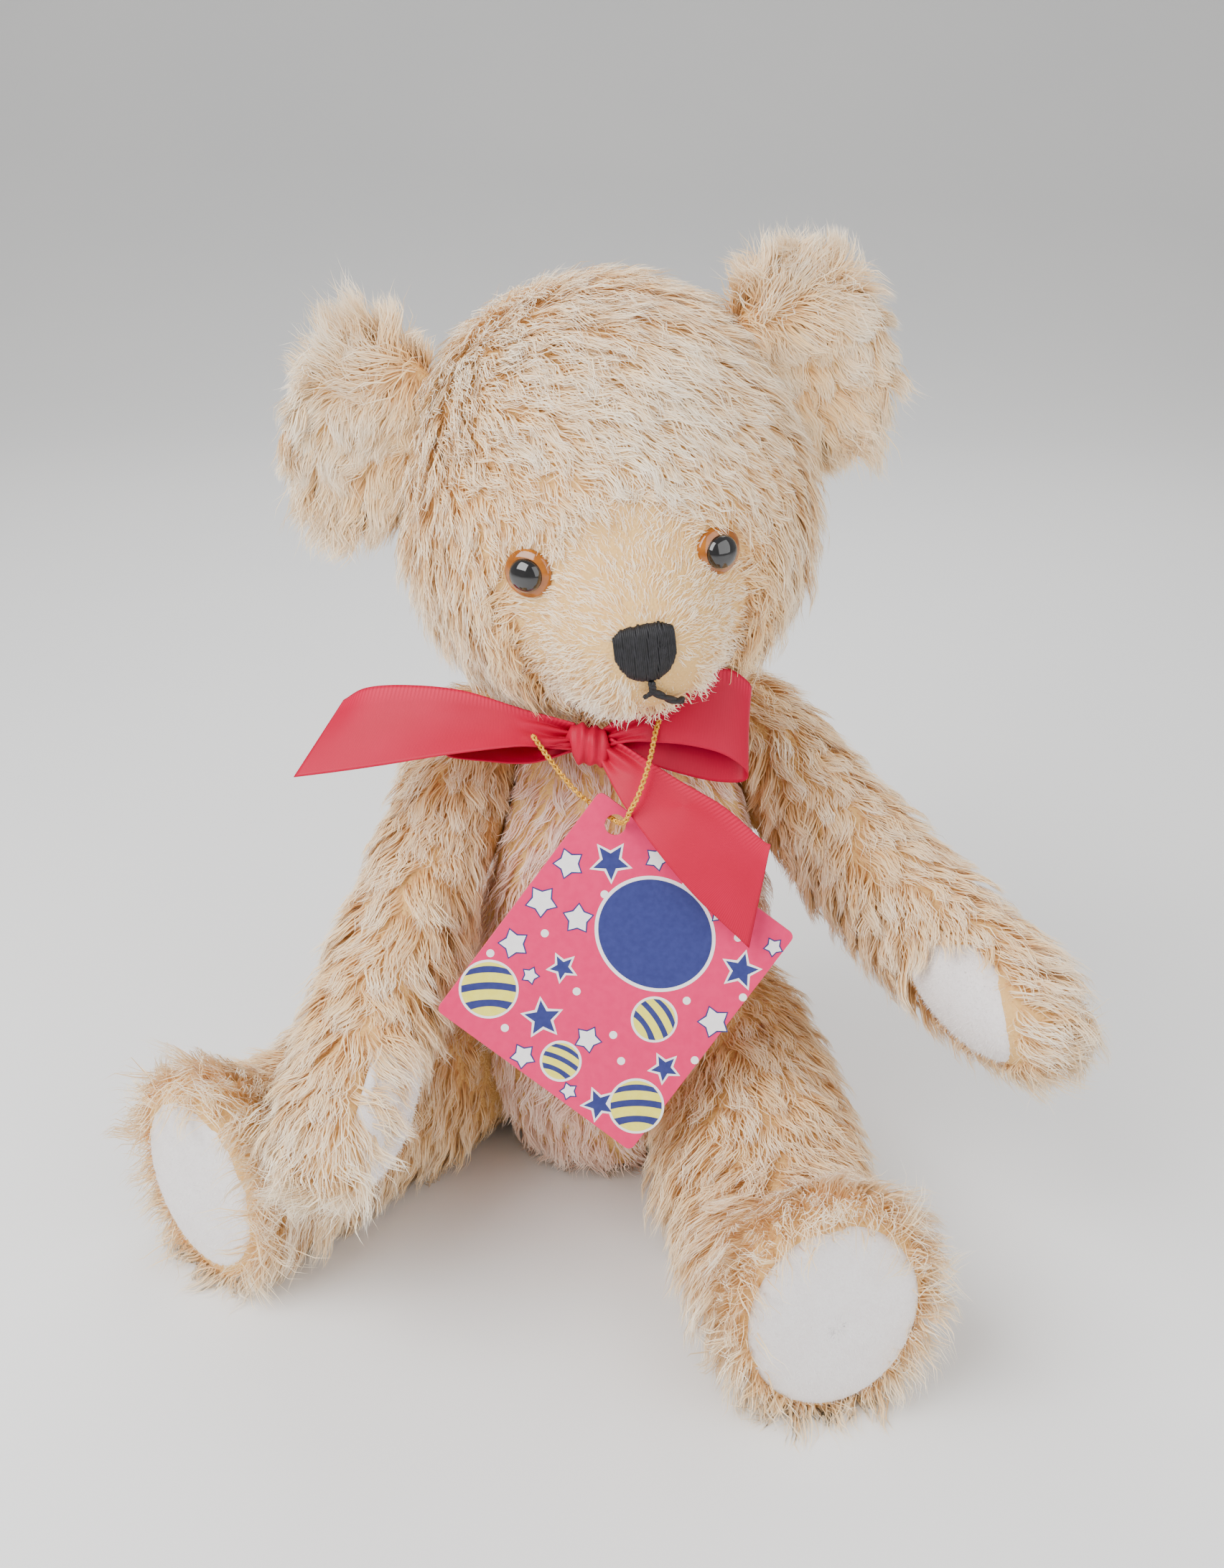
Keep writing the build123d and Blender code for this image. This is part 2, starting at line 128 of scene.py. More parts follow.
def shape(name, verts, faces, smooth=True):
    mesh = bpy.data.meshes.new(name)
    mesh.from_pydata([tuple(v) for v in verts], [], [tuple(f) for f in faces])
    mesh.update()
    mesh.polygons.foreach_set("use_smooth", [smooth] * len(mesh.polygons))
    return link(name, mesh)


def settle(obj):
    """Apply every modifier."""
    bpy.context.view_layer.update()
    seen = obj.evaluated_get(bpy.context.evaluated_depsgraph_get())
    mesh = bpy.data.meshes.new_from_object(seen)
    obj.modifiers.clear()
    obj.data = mesh


def modify(obj, kind, **values):
    modifier = obj.modifiers.new(kind.lower(), kind)
    for key, value in values.items():
        setattr(modifier, key, value)


def grid_faces(rows, across):
    """Quads of a grid of points, row by row."""
    return [(a, a + 1, a + across + 1, a + across)
            for i in range(rows - 1) for a in range(i * across, (i + 1) * across - 1)]


def smooth_shaded(mesh):
    mesh.polygons.foreach_set("use_smooth", [True] * len(mesh.polygons))


def write_uv(mesh, name, values):
    layer = mesh.uv_layers.new(name=name)
    layer.data.foreach_set("uv", np.asarray(values, np.float32).ravel())


def tube_faces(rows, around):
    """Quads between rings of points, and a cap on each end."""
    faces = []
    for i in range(rows - 1):
        low, high = i * around, (i + 1) * around
        for k in range(around):
            n = (k + 1) % around
            faces.append((low + k, low + n, high + n, high + k))
    last = (rows - 1) * around
    return faces + [tuple(range(around - 1, -1, -1)), tuple(last + k for k in range(around))]


def biggest_island(mesh):
    """Delete all but the largest connected surface."""
    bm = bmesh.new()
    bm.from_mesh(mesh)
    left, best = set(bm.verts), []
    while left:
        island, edge = [], [left.pop()]
        while edge:
            v = edge.pop()
            island.append(v)
            for e in v.link_edges:
                w = e.other_vert(v)
                if w in left:
                    left.remove(w)
                    edge.append(w)
        best = island if len(island) > len(best) else best
    keep = set(best)
    bmesh.ops.delete(bm, geom=[v for v in bm.verts if v not in keep], context="VERTS")
    bm.to_mesh(mesh)
    bm.free()


def soft_shell(name, nodes, voxel, smooth=6):
    """One closed, rounded surface over CAD nodes that are sewn together."""
    bm = bmesh.new()
    for node in nodes:
        bm.from_mesh(frame["nodes"][node].data)
    mesh = bpy.data.meshes.new(name)
    bm.to_mesh(mesh)
    bm.free()
    obj = link(name, mesh)
    modify(obj, "REMESH", mode="VOXEL", voxel_size=voxel)
    modify(obj, "SMOOTH", factor=0.5, iterations=smooth)
    settle(obj)
    biggest_island(obj.data)
    smooth_shaded(obj.data)
    return obj


def arrays(mesh):
    mesh.calc_loop_triangles()
    v, n = np.zeros((2, len(mesh.vertices) * 3))
    t = np.zeros(len(mesh.loop_triangles) * 3, int)
    mesh.vertices.foreach_get("co", v)
    mesh.vertices.foreach_get("normal", n)
    mesh.loop_triangles.foreach_get("vertices", t)
    return v.reshape(-1, 3), n.reshape(-1, 3), t.reshape(-1, 3)


def scatter(mesh, count):
    """Points and smooth normals spread evenly over a surface."""
    v, n, t = arrays(mesh)
    a, b, c = v[t[:, 0]], v[t[:, 1]], v[t[:, 2]]
    area = np.linalg.norm(np.cross(b - a, c - a), axis=1)
    pick = rng.choice(len(t), count, p=area / area.sum())
    r, s = np.sqrt(rng.random(count)), rng.random(count)
    w = np.stack([1 - r, r * (1 - s), r * s], 1)[:, :, None]
    corners = t[pick]
    points = (v[corners] * w).sum(1)
    normals = unit((n[corners] * w).sum(1))
    return points, normals


def tree_of(obj):
    mesh = obj.data
    return BVHTree.FromPolygons([v.co[:] for v in mesh.vertices], [p.vertices[:] for p in mesh.polygons])


# ---- pile
PILE_TOP, FLOOR_GAP = 0.259, 0.0003
PILE_STEPS, LOCK_SIZE, CURL, PULL = 4, 0.0042, 0.0011, 0.62


def strands(name, paths, widths, facing, shade):
    """A mesh of tapering strips: paths is (step, strand, 3)."""
    steps, count = len(paths) - 1, paths.shape[1]
    ahead = np.concatenate([paths[1:], paths[-1:]]) - np.concatenate([paths[:1], paths[:-1]])
    across = unit(np.cross(unit(ahead), facing[None]))
    taper = 1 - 0.75 * (np.arange(steps) / steps)[:, None, None] ** 1.5
    half = across[:steps] * taper * widths[None, :, None] / 2
    left, right = paths[:steps] - half, paths[:steps] + half
    verts = np.concatenate([np.stack([left, right], 1).reshape(-1, 3), paths[-1]])
    verts[:, 2] = np.maximum(verts[:, 2], FLOOR_GAP)
    index = np.arange(count)
    quads, quad_v = [], []
    for k in range(steps - 1):
        low, high = 2 * k * count, 2 * (k + 1) * count
        quads.append(np.stack([low + index, low + count + index,
                               high + count + index, high + index], 1))
        quad_v.append(np.tile([k, k, k + 1, k + 1], (count, 1)))
    last = 2 * (steps - 1) * count
    tips = np.stack([last + index, last + count + index, 2 * steps * count + index], 1)
    loops = np.concatenate([np.concatenate(quads).ravel(), tips.ravel()])
    along = np.concatenate([np.concatenate(quad_v).ravel(),
                            np.tile([steps - 1, steps - 1, steps], (count, 1)).ravel()]) / steps
    who = np.concatenate([np.repeat(np.tile(index, steps - 1), 4), np.repeat(index, 3)])
    sizes = np.concatenate([np.full(count * (steps - 1), 4), np.full(count, 3)])
    mesh = bpy.data.meshes.new(name)
    mesh.vertices.add(len(verts))
    mesh.vertices.foreach_set("co", verts.astype(np.float32).ravel())
    mesh.loops.add(len(loops))
    mesh.loops.foreach_set("vertex_index", loops.astype(np.int32))
    mesh.polygons.add(len(sizes))
    mesh.polygons.foreach_set("loop_start", (np.cumsum(sizes) - sizes).astype(np.int32))
    mesh.update(calc_edges=True)
    smooth_shaded(mesh)
    write_uv(mesh, "OFBake", np.stack([np.clip(shade, 0.01, 0.99)[who], np.clip(along, 0.01, 0.99)], 1))
    mesh.validate()
    return link(name, mesh)


def nearest(points, targets):
    tree = KDTree(len(targets))
    for i, p in enumerate(targets):
        tree.insert(p, i)
    tree.balance()
    return np.array([tree.find(p)[1] for p in points])


def room(points, trees, most):
    """How far each point is from the nearest other surface, up to most."""
    far = np.full(len(points), most)
    for tree in trees:
        for i, p in enumerate(points):
            hit = tree.find_nearest(p, far[i])
            if hit[0] is not None:
                far[i] = hit[3]
    return far


def pile(name, surface, count, style, others, width):
    """Grow mohair: curly strands gathered into locks. style gives each root its comb."""
    p, n = scatter(surface.data, count)
    combed = style(p, n)
    keep = combed["length"] > 0.0004
    p, n = p[keep], n[keep]
    combed = {key: value[keep] for key, value in combed.items()}
    length, lift = combed["length"], combed["lift"][:, None]
    if others:
        length = np.minimum(length, np.maximum(room(p, others, 0.012) * 1.15, 0.0012))
    many = len(p)
    flow = combed["flow"] + rng.normal(0, 0.16, (many, 3))
    flow = unit(flow - n * (flow * n).sum(1, keepdims=True))
    side = np.cross(n, flow)
    area = sum(poly.area for poly in surface.data.polygons) * keep.mean()
    locks = rng.choice(many, max(3, int(area / LOCK_SIZE**2)), replace=False)
    home = nearest(p, p[locks])
    lead = locks[home]
    lean = rng.normal(0, 0.28, (len(locks), 1))[home]
    stretch = (1 + rng.normal(0, 0.16, len(locks)))[home] * (1 + rng.normal(0, 0.13, many))
    short = np.where(rng.random(many) < 0.25, rng.uniform(0.5, 1.0, many), 1)
    length = length * np.clip(stretch * short, 0.4, 1.4)
    length = np.minimum(length, np.maximum(PILE_TOP - p[:, 2], 0.004))
    flow = unit(flow + side * lean)
    down = np.array((0, 0, -1.0))
    path = [p - n * 0.0004]
    for k in range(PILE_STEPS):
        s = (k + 0.5) / PILE_STEPS
        way = unit(n * lift * (1 - 0.55 * s) + flow * (1 - lift * (1 - s)) + down * 0.22 * s)
        path.append(path[-1] + way * length[:, None] / PILE_STEPS)
    path = np.array(path)
    s = (np.arange(PILE_STEPS + 1) / PILE_STEPS)[:, None, None]
    phase = rng.random(len(locks))[home][None, :, None] * FULL_TURN
    waves = (length / 0.0105)[None, :, None]
    swing = CURL * s * np.minimum(length / 0.009, 1)[None, :, None]
    bend = FULL_TURN * s * waves + phase
    led = path[:, lead]
    loose = (rng.random(many) < 0.2)[None, :, None]
    grip = np.where(loose, 0.1, PULL) * s**0.9 * combed["gather"][None, :, None]
    path = path + (led - path) * grip
    path += (side[lead][None] * np.sin(bend) + n[lead][None] * 0.6 * np.cos(bend)) * swing
    path += rng.normal(0, 0.00022, path.shape) * s
    twist = rng.normal(0, 0.45, (many, 1))
    facing = unit(n + side * twist)
    shade = np.clip(0.5 + rng.normal(0, 0.16, len(locks))[home] + rng.normal(0, 0.15, many), 0, 1)
    shade = np.clip(shade + combed["tone"], 0, 1)
    wide = width * (1 + rng.normal(0, 0.2, many)).clip(0.5, 1.6) * np.where(loose[0, :, 0], 0.6, 1)
    wide = wide * np.clip((length / 0.006) ** 0.3, 0.6, 1)
    return strands(name, path, wide, facing, shade)


# ---- materials
def material(name, **values):
    """A node material. Returns it with its node tree helpers."""
    made = bpy.data.materials.new(name)
    made.use_nodes = True
    shader = made.node_tree.nodes["Principled BSDF"]
    for key, value in values.items():
        shader.inputs[key.replace("_", " ")].default_value = value
    return made, made.node_tree, shader


def node(tree, kind, **values):
    made = tree.nodes.new(kind)
    for key, value in values.items():
        if key in made.inputs.keys():
            made.inputs[key].default_value = value
        else:
            setattr(made, key, value)
    return made


def ramp(tree, source, stops):
    made = tree.nodes.new("ShaderNodeValToRGB")
    elements = made.color_ramp.elements
    while len(elements) < len(stops):
        elements.new(0.5)
    for element, (place, colour) in zip(elements, stops):
        element.position = place
        element.color = (*colour, 1)
    tree.links.new(source, made.inputs[0])
    return made.outputs[0]


def mix(tree, factor, one, two, blend="MIX"):
    made = tree.nodes.new("ShaderNodeMix")
    made.data_type = "RGBA"
    made.blend_type = blend
    for socket, value in ((made.inputs[0], factor), (made.inputs[6], one), (made.inputs[7], two)):
        if hasattr(value, "is_linked"):
            tree.links.new(value, socket)
        else:
            socket.default_value = value if isinstance(value, float) else (*value, 1)
    return made.outputs[2]


def bump(tree, shader, height, strength, distance):
    made = node(tree, "ShaderNodeBump", Strength=strength, Distance=distance)
    tree.links.new(height, made.inputs["Height"])
    tree.links.new(made.outputs[0], shader.inputs["Normal"])


def textures(tree, *kinds):
    """The output of each texture, read in the object's own coordinates."""
    place = tree.nodes.new("ShaderNodeTexCoord")
    made = [node(tree, "ShaderNodeTex" + kind, **values) for kind, values in kinds]
    for texture in made:
        tree.links.new(place.outputs["Object"], texture.inputs["Vector"])
    return [texture.outputs[0] for texture in made]


def uv_parts(tree, layer):
    """A UV layer's output, and its two coordinates."""
    uv = node(tree, "ShaderNodeUVMap", uv_map=layer)
    parts = tree.nodes.new("ShaderNodeSeparateXYZ")
    tree.links.new(uv.outputs[0], parts.inputs[0])
    return uv.outputs[0], parts.outputs[0], parts.outputs[1]


def pile_material(name, root, middle, tip, pale):
    made, tree, shader = material(name, Roughness=0.62)
    shader.inputs["Specular IOR Level"].default_value = 0.28
    shader.inputs["Sheen Weight"].default_value = 0.25
    shader.inputs["Sheen Roughness"].default_value = 0.4
    _, shade, along = uv_parts(tree, "OFBake")
    dark = ramp(tree, along, [(0, root), (0.45, middle), (1, tip)])
    light = ramp(tree, along, [(0, middle), (0.4, tip), (1, pale)])
    tree.links.new(mix(tree, shade, dark, light), shader.inputs["Base Color"])
    return made


def backing_material(name, dark, light):
    """Woven backing cloth seen between the roots."""
    made, tree, shader = material(name, Roughness=0.85)
    cells, drift = textures(tree, ("Voronoi", {"Scale": 1400.0}), ("Noise", {"Scale": 90.0, "Detail": 4.0}))
    colour = mix(tree, 0.35, mix(tree, drift, dark, light), ramp(tree, cells, [(0, light), (0.7, dark)]))
    tree.links.new(colour, shader.inputs["Base Color"])
    bump(tree, shader, cells, 0.6, 0.0004)
    return made


def felt_material():
    made, tree, shader = material("felt", Roughness=0.95)
    shader.inputs["Sheen Weight"].default_value = 0.35
    fine, broad = textures(tree, ("Noise", {"Scale": 1500.0, "Detail": 6.0, "Roughness": 0.7}),
                           ("Noise", {"Scale": 160.0, "Detail": 3.0}))
    blotch = ramp(tree, broad, [(0.35, (0.90, 0.84, 0.84)), (0.65, (0.95, 0.91, 0.91))])
    fibre = ramp(tree, fine, [(0.3, (0.82, 0.75, 0.75)), (0.6, (0.97, 0.94, 0.94))])
    tree.links.new(mix(tree, 0.45, blotch, fibre), shader.inputs["Base Color"])
    bump(tree, shader, fine, 0.5, 0.0006)
    return made


def satin_material():
    made, tree, shader = material("satin", Roughness=0.46)
    shader.inputs["Specular IOR Level"].default_value = 0.2
    shader.inputs["Anisotropic"].default_value = 0.4
    uv, across, _ = uv_parts(tree, "Ribbon")
    weft = node(tree, "ShaderNodeTexWave", Scale=950.0, Distortion=0.4, bands_direction="Y")
    drift = node(tree, "ShaderNodeTexNoise", Scale=60.0, Detail=2.0)
    stitches = node(tree, "ShaderNodeTexWave", Scale=300.0, bands_direction="Y")
    for texture in (weft, drift, stitches):
        tree.links.new(uv, texture.inputs["Vector"])
    deep, bright = (0.42, 0.0, 0.024), (0.56, 0.0, 0.046)
    cloth = mix(tree, drift.outputs[0], deep, bright)
    thread = ramp(tree, weft.outputs[0], [(0, (0.34, 0.0, 0.018)), (1, (0.62, 0.001, 0.054))])
    cloth = mix(tree, 0.25, cloth, thread)
    black, white = (0, 0, 0), (1, 1, 1)
    seams = ramp(tree, across, [(0.0008, black), (0.001, white), (0.0015, white), (0.0017, black),
                                (0.0233, black), (0.0235, white), (0.024, white), (0.0242, black)])
    edge = mix(tree, 1.0, seams, ramp(tree, stitches.outputs[0], [(0.3, black), (0.6, white)]), "MULTIPLY")
    cloth = mix(tree, edge, cloth, (0.66, 0.006, 0.06))
    tree.links.new(cloth, shader.inputs["Base Color"])
    bump(tree, shader, weft.outputs[0], 0.12, 0.0001)
    return made


def plain_noise(name, dark, light, scale, rough, height=0.0002, **values):
    """A surface with fine mottled colour and a slight bump."""
    made, tree, shader = material(name, Roughness=rough, **values)
    grain, = textures(tree, ("Noise", {"Scale": scale, "Detail": 5.0}))
    tree.links.new(ramp(tree, grain, [(0.35, dark), (0.65, light)]), shader.inputs["Base Color"])
    bump(tree, shader, grain, 0.3, height)
    return made


def dress(obj, made):
    obj.data.materials.clear()
    obj.data.materials.append(made)


def finish(obj, made, body):
    """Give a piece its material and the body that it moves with."""
    dress(obj, made)
    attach(obj, body)


FUR = pile_material("pile_honey", (0.66, 0.30, 0.08), (0.92, 0.58, 0.24), (0.99, 0.79, 0.50),
                    (1.0, 0.95, 0.86))
# The torso's pile is a pinker copy of the honey pile: painted shade and painted reflection, as seen over the
# belly, used on the whole torso.
TORSO_FUR_PAINTED_SHADE = pile_material("pile_painted_shade", (0.76, 0.38, 0.22), (0.93, 0.58, 0.42), (0.98, 0.75, 0.62),
                          (1.0, 0.90, 0.82))
BACKING = backing_material("backing", (0.74, 0.42, 0.13), (0.87, 0.58, 0.24))
FELT = felt_material()
FUZZ = pile_material("felt_fuzz", (0.80, 0.74, 0.72), (0.88, 0.84, 0.83), (0.94, 0.92, 0.91),
                     (0.97, 0.96, 0.95))
SATIN = satin_material()
THREAD = plain_noise("black_thread", (0.002, 0.002, 0.003), (0.012, 0.011, 0.015), 900, 0.6)
GOLD = plain_noise("gold_thread", (0.52, 0.22, 0.008), (0.92, 0.52, 0.06), 1800, 0.3, Metallic=0.2)
AMBER = plain_noise("amber", (0.22, 0.055, 0.001), (0.42, 0.13, 0.006), 260, 0.12, 0.00002, Coat_Weight=0.6)
PUPIL = plain_noise("pupil_black", (0.003, 0.003, 0.004), (0.008, 0.007, 0.008), 400, 0.07, 0.00001,
                    Coat_Weight=0.8)
CARD = plain_noise("card_red", (0.74, 0.012, 0.115), (0.78, 0.018, 0.13), 500, 0.34, 0.00003)
INK_BLUE = plain_noise("ink_blue", (0.026, 0.032, 0.16), (0.034, 0.042, 0.19), 700, 0.34, 0.00002)
INK_WHITE = plain_noise("ink_white", (0.86, 0.84, 0.85), (0.90, 0.88, 0.89), 700, 0.36, 0.00002)
INK_YELLOW = plain_noise("ink_yellow", (0.82, 0.74, 0.09), (0.86, 0.79, 0.13), 700, 0.34, 0.00002)


# ---- camera, light, floor
def make_stage():
    data = bpy.data.cameras.new("camera")
    data.sensor_width, data.lens = 36, 36 * 2600 / 2184
    camera = bpy.data.objects.new("camera", data)
    camera.location = at(0, -449, 339.6)
    camera.rotation_euler = (radians(63), 0, 0)
    bpy.context.scene.collection.objects.link(camera)
    bpy.context.scene.camera = camera
    profile = [(-1.2, 0)] + [(0.75 + 0.9 * sin(t), 0.9 - 0.9 * cos(t))
                             for t in np.linspace(0, pi / 2, 24)] + [(1.65, 2.6)]
    verts = [(x, y, z) for y, z in profile for x in (-2.2, 2.2)]
    faces = [(2 * i, 2 * i + 1, 2 * i + 3, 2 * i + 2) for i in range(len(profile) - 1)]
    floor = shape("floor", verts, faces)
    dress(floor, plain_noise("floor_pale", (0.86, 0.865, 0.87), (0.89, 0.89, 0.89), 4, 0.9, 0.0))
    world = bpy.data.worlds.new("world")
    world.use_nodes = True
    world.node_tree.nodes["Background"].inputs[0].default_value = (1, 0.985, 0.96, 1)
    world.node_tree.nodes["Background"].inputs[1].default_value = 0.5
    bpy.context.scene.world = world
    for name, place, size, power in (("key", (-420, -380, 620), 0.6, 8.8),
                                     ("fill", (480, -420, 420), 0.7, 3.4),
                                     ("rim", (60, 420, 640), 0.6, 3.2)):
        lamp = bpy.data.lights.new(name, "AREA")
        lamp.size, lamp.energy = size, power
        obj = bpy.data.objects.new(name, lamp)
        obj.location = at(*place)
        aim = Vector(at(0, 0, 120)) - obj.location
        obj.rotation_euler = aim.to_track_quat("-Z", "Y").to_euler()
        bpy.context.scene.collection.objects.link(obj)


make_stage()


def step(x, low, high):
    t = np.clip((x - low) / (high - low), 0, 1)
    return t * t * (3 - 2 * t)


# ---- bodies under the pile
def fuller(obj, place, swell):
    """Push the cloth outward where a limb's stuffing is loosest, on its inner side."""
    for v in obj.data.vertices:
        x, _, out = place.local(np.array(v.co))
        amount = step(x, 38, 66) * (1 - step(x, 90, 104)) * step(16 - out, 0, 14) * swell * MM
        v.co += v.normal * float(amount)
    obj.data.update()


def limb_nodes(kind, side, pad):
    name = f"{kind}_{side}"
    return [name + "_inner_panel", name + "_outer_panel", name + "_stuffing", f"{pad}_{side}"]


HEAD_NODES = ["head_gusset", "head_panel_left", "head_panel_right", "head_stuffing"]
TORSO_NODES = ["torso_panel_left", "torso_panel_right", "torso_stuffing"]


def make_bodies():
    made = {"torso": soft_shell("torso_cloth", TORSO_NODES, 0.0035),
            "head": soft_shell("head_cloth", HEAD_NODES, 0.003, 10)}
    for side in SIDES:
        made["arm_" + side] = soft_shell(f"arm_{side}_cloth", limb_nodes("arm", side, "paw_pad"), 0.003)
        made["leg_" + side] = soft_shell(f"leg_{side}_cloth", limb_nodes("leg", side, "foot_pad"), 0.003)
        ear = "ear_" + side
        made[ear] = soft_shell(ear + "_cloth", [ear + "_front", ear + "_back"], 0.0014, 3)
    fuller(made["leg_left"], LEGS["left"], 3.0)
    for name, obj in made.items():
        finish(obj, BACKING, "head" if name.startswith("ear") else name)
    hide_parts(*TORSO_NODES)
    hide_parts(*HEAD_NODES)
    for side in SIDES:
        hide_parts(*limb_nodes("arm", side, "paw_pad")[:3])
        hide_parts(*limb_nodes("leg", side, "foot_pad")[:3])
        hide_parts(f"ear_{side}_front", f"ear_{side}_back")
    return made


cloth = make_bodies()
trees = {name: tree_of(obj) for name, obj in cloth.items()}


def vectors(*parts):
    """Rows of x, y and z, each part a number or one for each row."""
    return np.stack(np.broadcast_arrays(*parts), 1)


def blend(one, two, share):
    """One where share is 0 and two where it is 1, row by row."""
    return np.asarray(one) * (1 - share[:, None]) + np.asarray(two) * share[:, None]


def comb(length, lift, flow, gather=None, tone=None):
    """What a pile style says of each root: length and tone, how it stands and where it points."""
    many = len(length)
    return {
        "length": length * MM, "lift": np.broadcast_to(lift, many).astype(float), "flow": flow,
        "gather": np.ones(many) if gather is None else gather,
        "tone": np.zeros(many) if tone is None else tone,
    }


# ---- how each part is combed
SOLE_Z, SOLE_X, SOLE_TALL, SOLE_WIDE = 25.5, 110.0, 26.0, 19.4
PAW_X, PAW_LONG, PAW_WIDE, ARM_SEAM = 104.0, 18.5, 13.8, 18.0
MUZZLE = np.array((0, -35, -13.0))
NOSE = np.array((0, -64, -12.0))


def head_style(p, n):
    q = HEAD.local(p)
    x, y, z = q.T
    out = np.linalg.norm((q - MUZZLE) / (25, 34, 24), axis=1)
    bridge = np.linalg.norm((q - (0, -44, 3)) / (13, 20, 12), axis=1)
    clipped = (1 - np.minimum(step(out, 0.98, 1.20), step(bridge, 0.7, 1.7))) * step(-y, 22, 30)
    length = 13.5 - 10.0 * clipped
    low_edge = step(-z, 18, 30) * step(-y, 20, 40) * clipped
    length += 4.5 * low_edge
    brow = step(-y, 8, 30) * (1 - step(z, 16, 44)) * step(z, 0, 8)
    length -= 5.5 * brow * (1 - clipped)
    cheek = step(np.abs(x), 22, 36) * step(-z, -14, 6)
    length += 1.5 * cheek
    for sign in (-1, 1):
        eye = np.linalg.norm(q - eye_seat(sign)[0], axis=1)
        near_eye = np.minimum(length, 2.6 + (eye - 5.0) * 0.72)
        length = np.where(eye < 5.0, 0, np.where(eye < 19, near_eye, length))
    nose = np.hypot(x / 7.0, (z + 13.4) / 6.8)
    length = np.where((nose < 0.95) & (y < -50), 0, length)
    smile = (x > -3.5) & (x < 10) & (z < -18) & (z > -32) & (y < -38)
    length = np.where(smile, np.minimum(length, 1.0), length)
    under = (np.hypot(x, y - 4) < 22) & (z < -38)
    length = np.where(under, 0, length)
    sideways = vectors(np.tanh(x / 20) * 0.3, -0.25, -0.85)
    crown = blend((0.75, -0.55, -0.5), (0.8, 0.1, -0.65), step(x, 10, 40))
    flow = blend(sideways, crown, step(z, -8, 34))
    flow = blend(flow, (0.1, 0.0, -1.0), step(y, -22, 30))
    near = np.maximum(clipped, step(-y, 34, 46) * step(8 - z, 0, 8))
    flow = blend(flow, unit(q - NOSE), near)
    lift = 0.40 - 0.04 * clipped + 0.12 * low_edge
    # A ring round the muzzle, below the eyes, is darkened: painted shade where the muzzle meets the cheeks.
    muzzle_ring_shade = step(out, 1.0, 1.15) * (1 - step(out, 1.25, 1.6)) * step(-y, 15, 35) * (1 - step(z, -2, 14))
    tone = 0.15 * step(z, 0, 40) + 0.3 * clipped + 0.1 * low_edge - 0.7 * muzzle_ring_shade
    tone += 0.22 * np.sin(x / 13 + 1.0) * np.cos(z / 16 + y / 20) * (1 - clipped)
    return comb(length, lift, HEAD.turn(flow), gather=1 - 0.55 * clipped, tone=tone)


def ear_style(sign):
    root = np.array((sign * 40, 3, 22.0))

    def style(p, n):
        q = HEAD.local(p)
        rel = q - root
        far = np.linalg.norm(rel * (1, 0.4, 1), axis=1)
        inward = step(q[:, 2], 34, 50) * (1 - step(np.abs(q[:, 0]), 54, 70))
        hang = step(30 - q[:, 2], 0, 12)
        length = 8.0 + 1.0 * step(far, 16, 36) + 7.0 * inward + 7 * hang
        away = unit(rel * (1, 0.15, 1))
        upward, outward = away + (-0.35 * sign, 0, 0.6), away * 0.55 + (0, -0.15, -0.95)
        flow = blend(outward, upward, inward)
        front = step(-(HEAD.local(p + n * 0.01) - q)[:, 1] / 10, 0.2, 0.9)
        inner = front * (1 - step(far, 14, 30))
        flow = flow * (1 - 0.7 * inner[:, None]) + (sign * 0.35, -0.2, -0.75) * inner[:, None]
        length = np.where(np.linalg.norm(q, axis=1) < HEAD_RADIUS, 0, length)
        length = length * (1 + 0.3 * (rng.random(len(length)) < 0.25) * step(far, 14, 30))
        # The pile is darker near the ear's root and centre and lighter towards its rim: the darker centre is
        # painted shade.
        return comb(length, 0.3 + 0.05 * inner, HEAD.turn(flow), tone=0.4 * step(far, 18, 36) - 0.2)
    return style


def torso_style(p, n):
    q = TORSO.local(p)
    x, _, z = q.T
    length = 10.0 - 2.5 * step(z, 100, 130)
    length = np.where((z > 137) | (z < 1.2), 0, length)
    flow = vectors(0.25 * np.sign(x), -0.25, -1)
    flow = flow + vectors(0.5 * np.sin(z / 9 + x / 14), 0, 0.2 * np.cos(x / 8))
    return comb(length, 0.44, flow)


def arm_style(side):
    place = ARMS[side]

    def style(p, n):
        q = place.local(p)
        x, u, o = q.T
        ring = np.hypot((x - PAW_X) / (PAW_LONG + 0.3), (u - 0.5) / (PAW_WIDE + 0.2))
        length = 12.0 + 8 * step(x, 92, 118) - 3 * step(-x, 0, 15)
        over_pad = step(x, 76, 90) * step(u, 4, 12) * step(o, 1, 7) * (1 - step(o, 17, 25))
        over_pad = over_pad * (side == "right")
        pad = (ring < 1) & (o < ARM_SEAM - 1) & (over_pad < 0.5)
        length = np.where(pad, 0, length + 4 * over_pad)
        tip = step(x, 95, 116)
        flow = blend((0.75, -0.35, 0.05), vectors(0.9, (u - 1) / 16, (o - 17) / 16), tip)
        flow = place.turn(flow) + (0, 0, -0.35) * (1 - tip[:, None])
        edge = (ring < 1.32) & (o < ARM_SEAM) & (x > 92) & (rng.random(len(x)) < 0.4)
        inward = vectors(PAW_X - x, 0.5 - u, -2)
        flow = np.where(edge[:, None], place.turn(unit(inward)), flow)
        length = np.where(edge, np.minimum(length, 7), length)
        flow = blend(flow, place.turn((0.35, -0.9, -0.5)), over_pad)
        lift = 0.46 + 0.12 * tip - 0.1 * over_pad
        return comb(length, lift, flow, tone=0.4 * tip - 0.15)
    return style


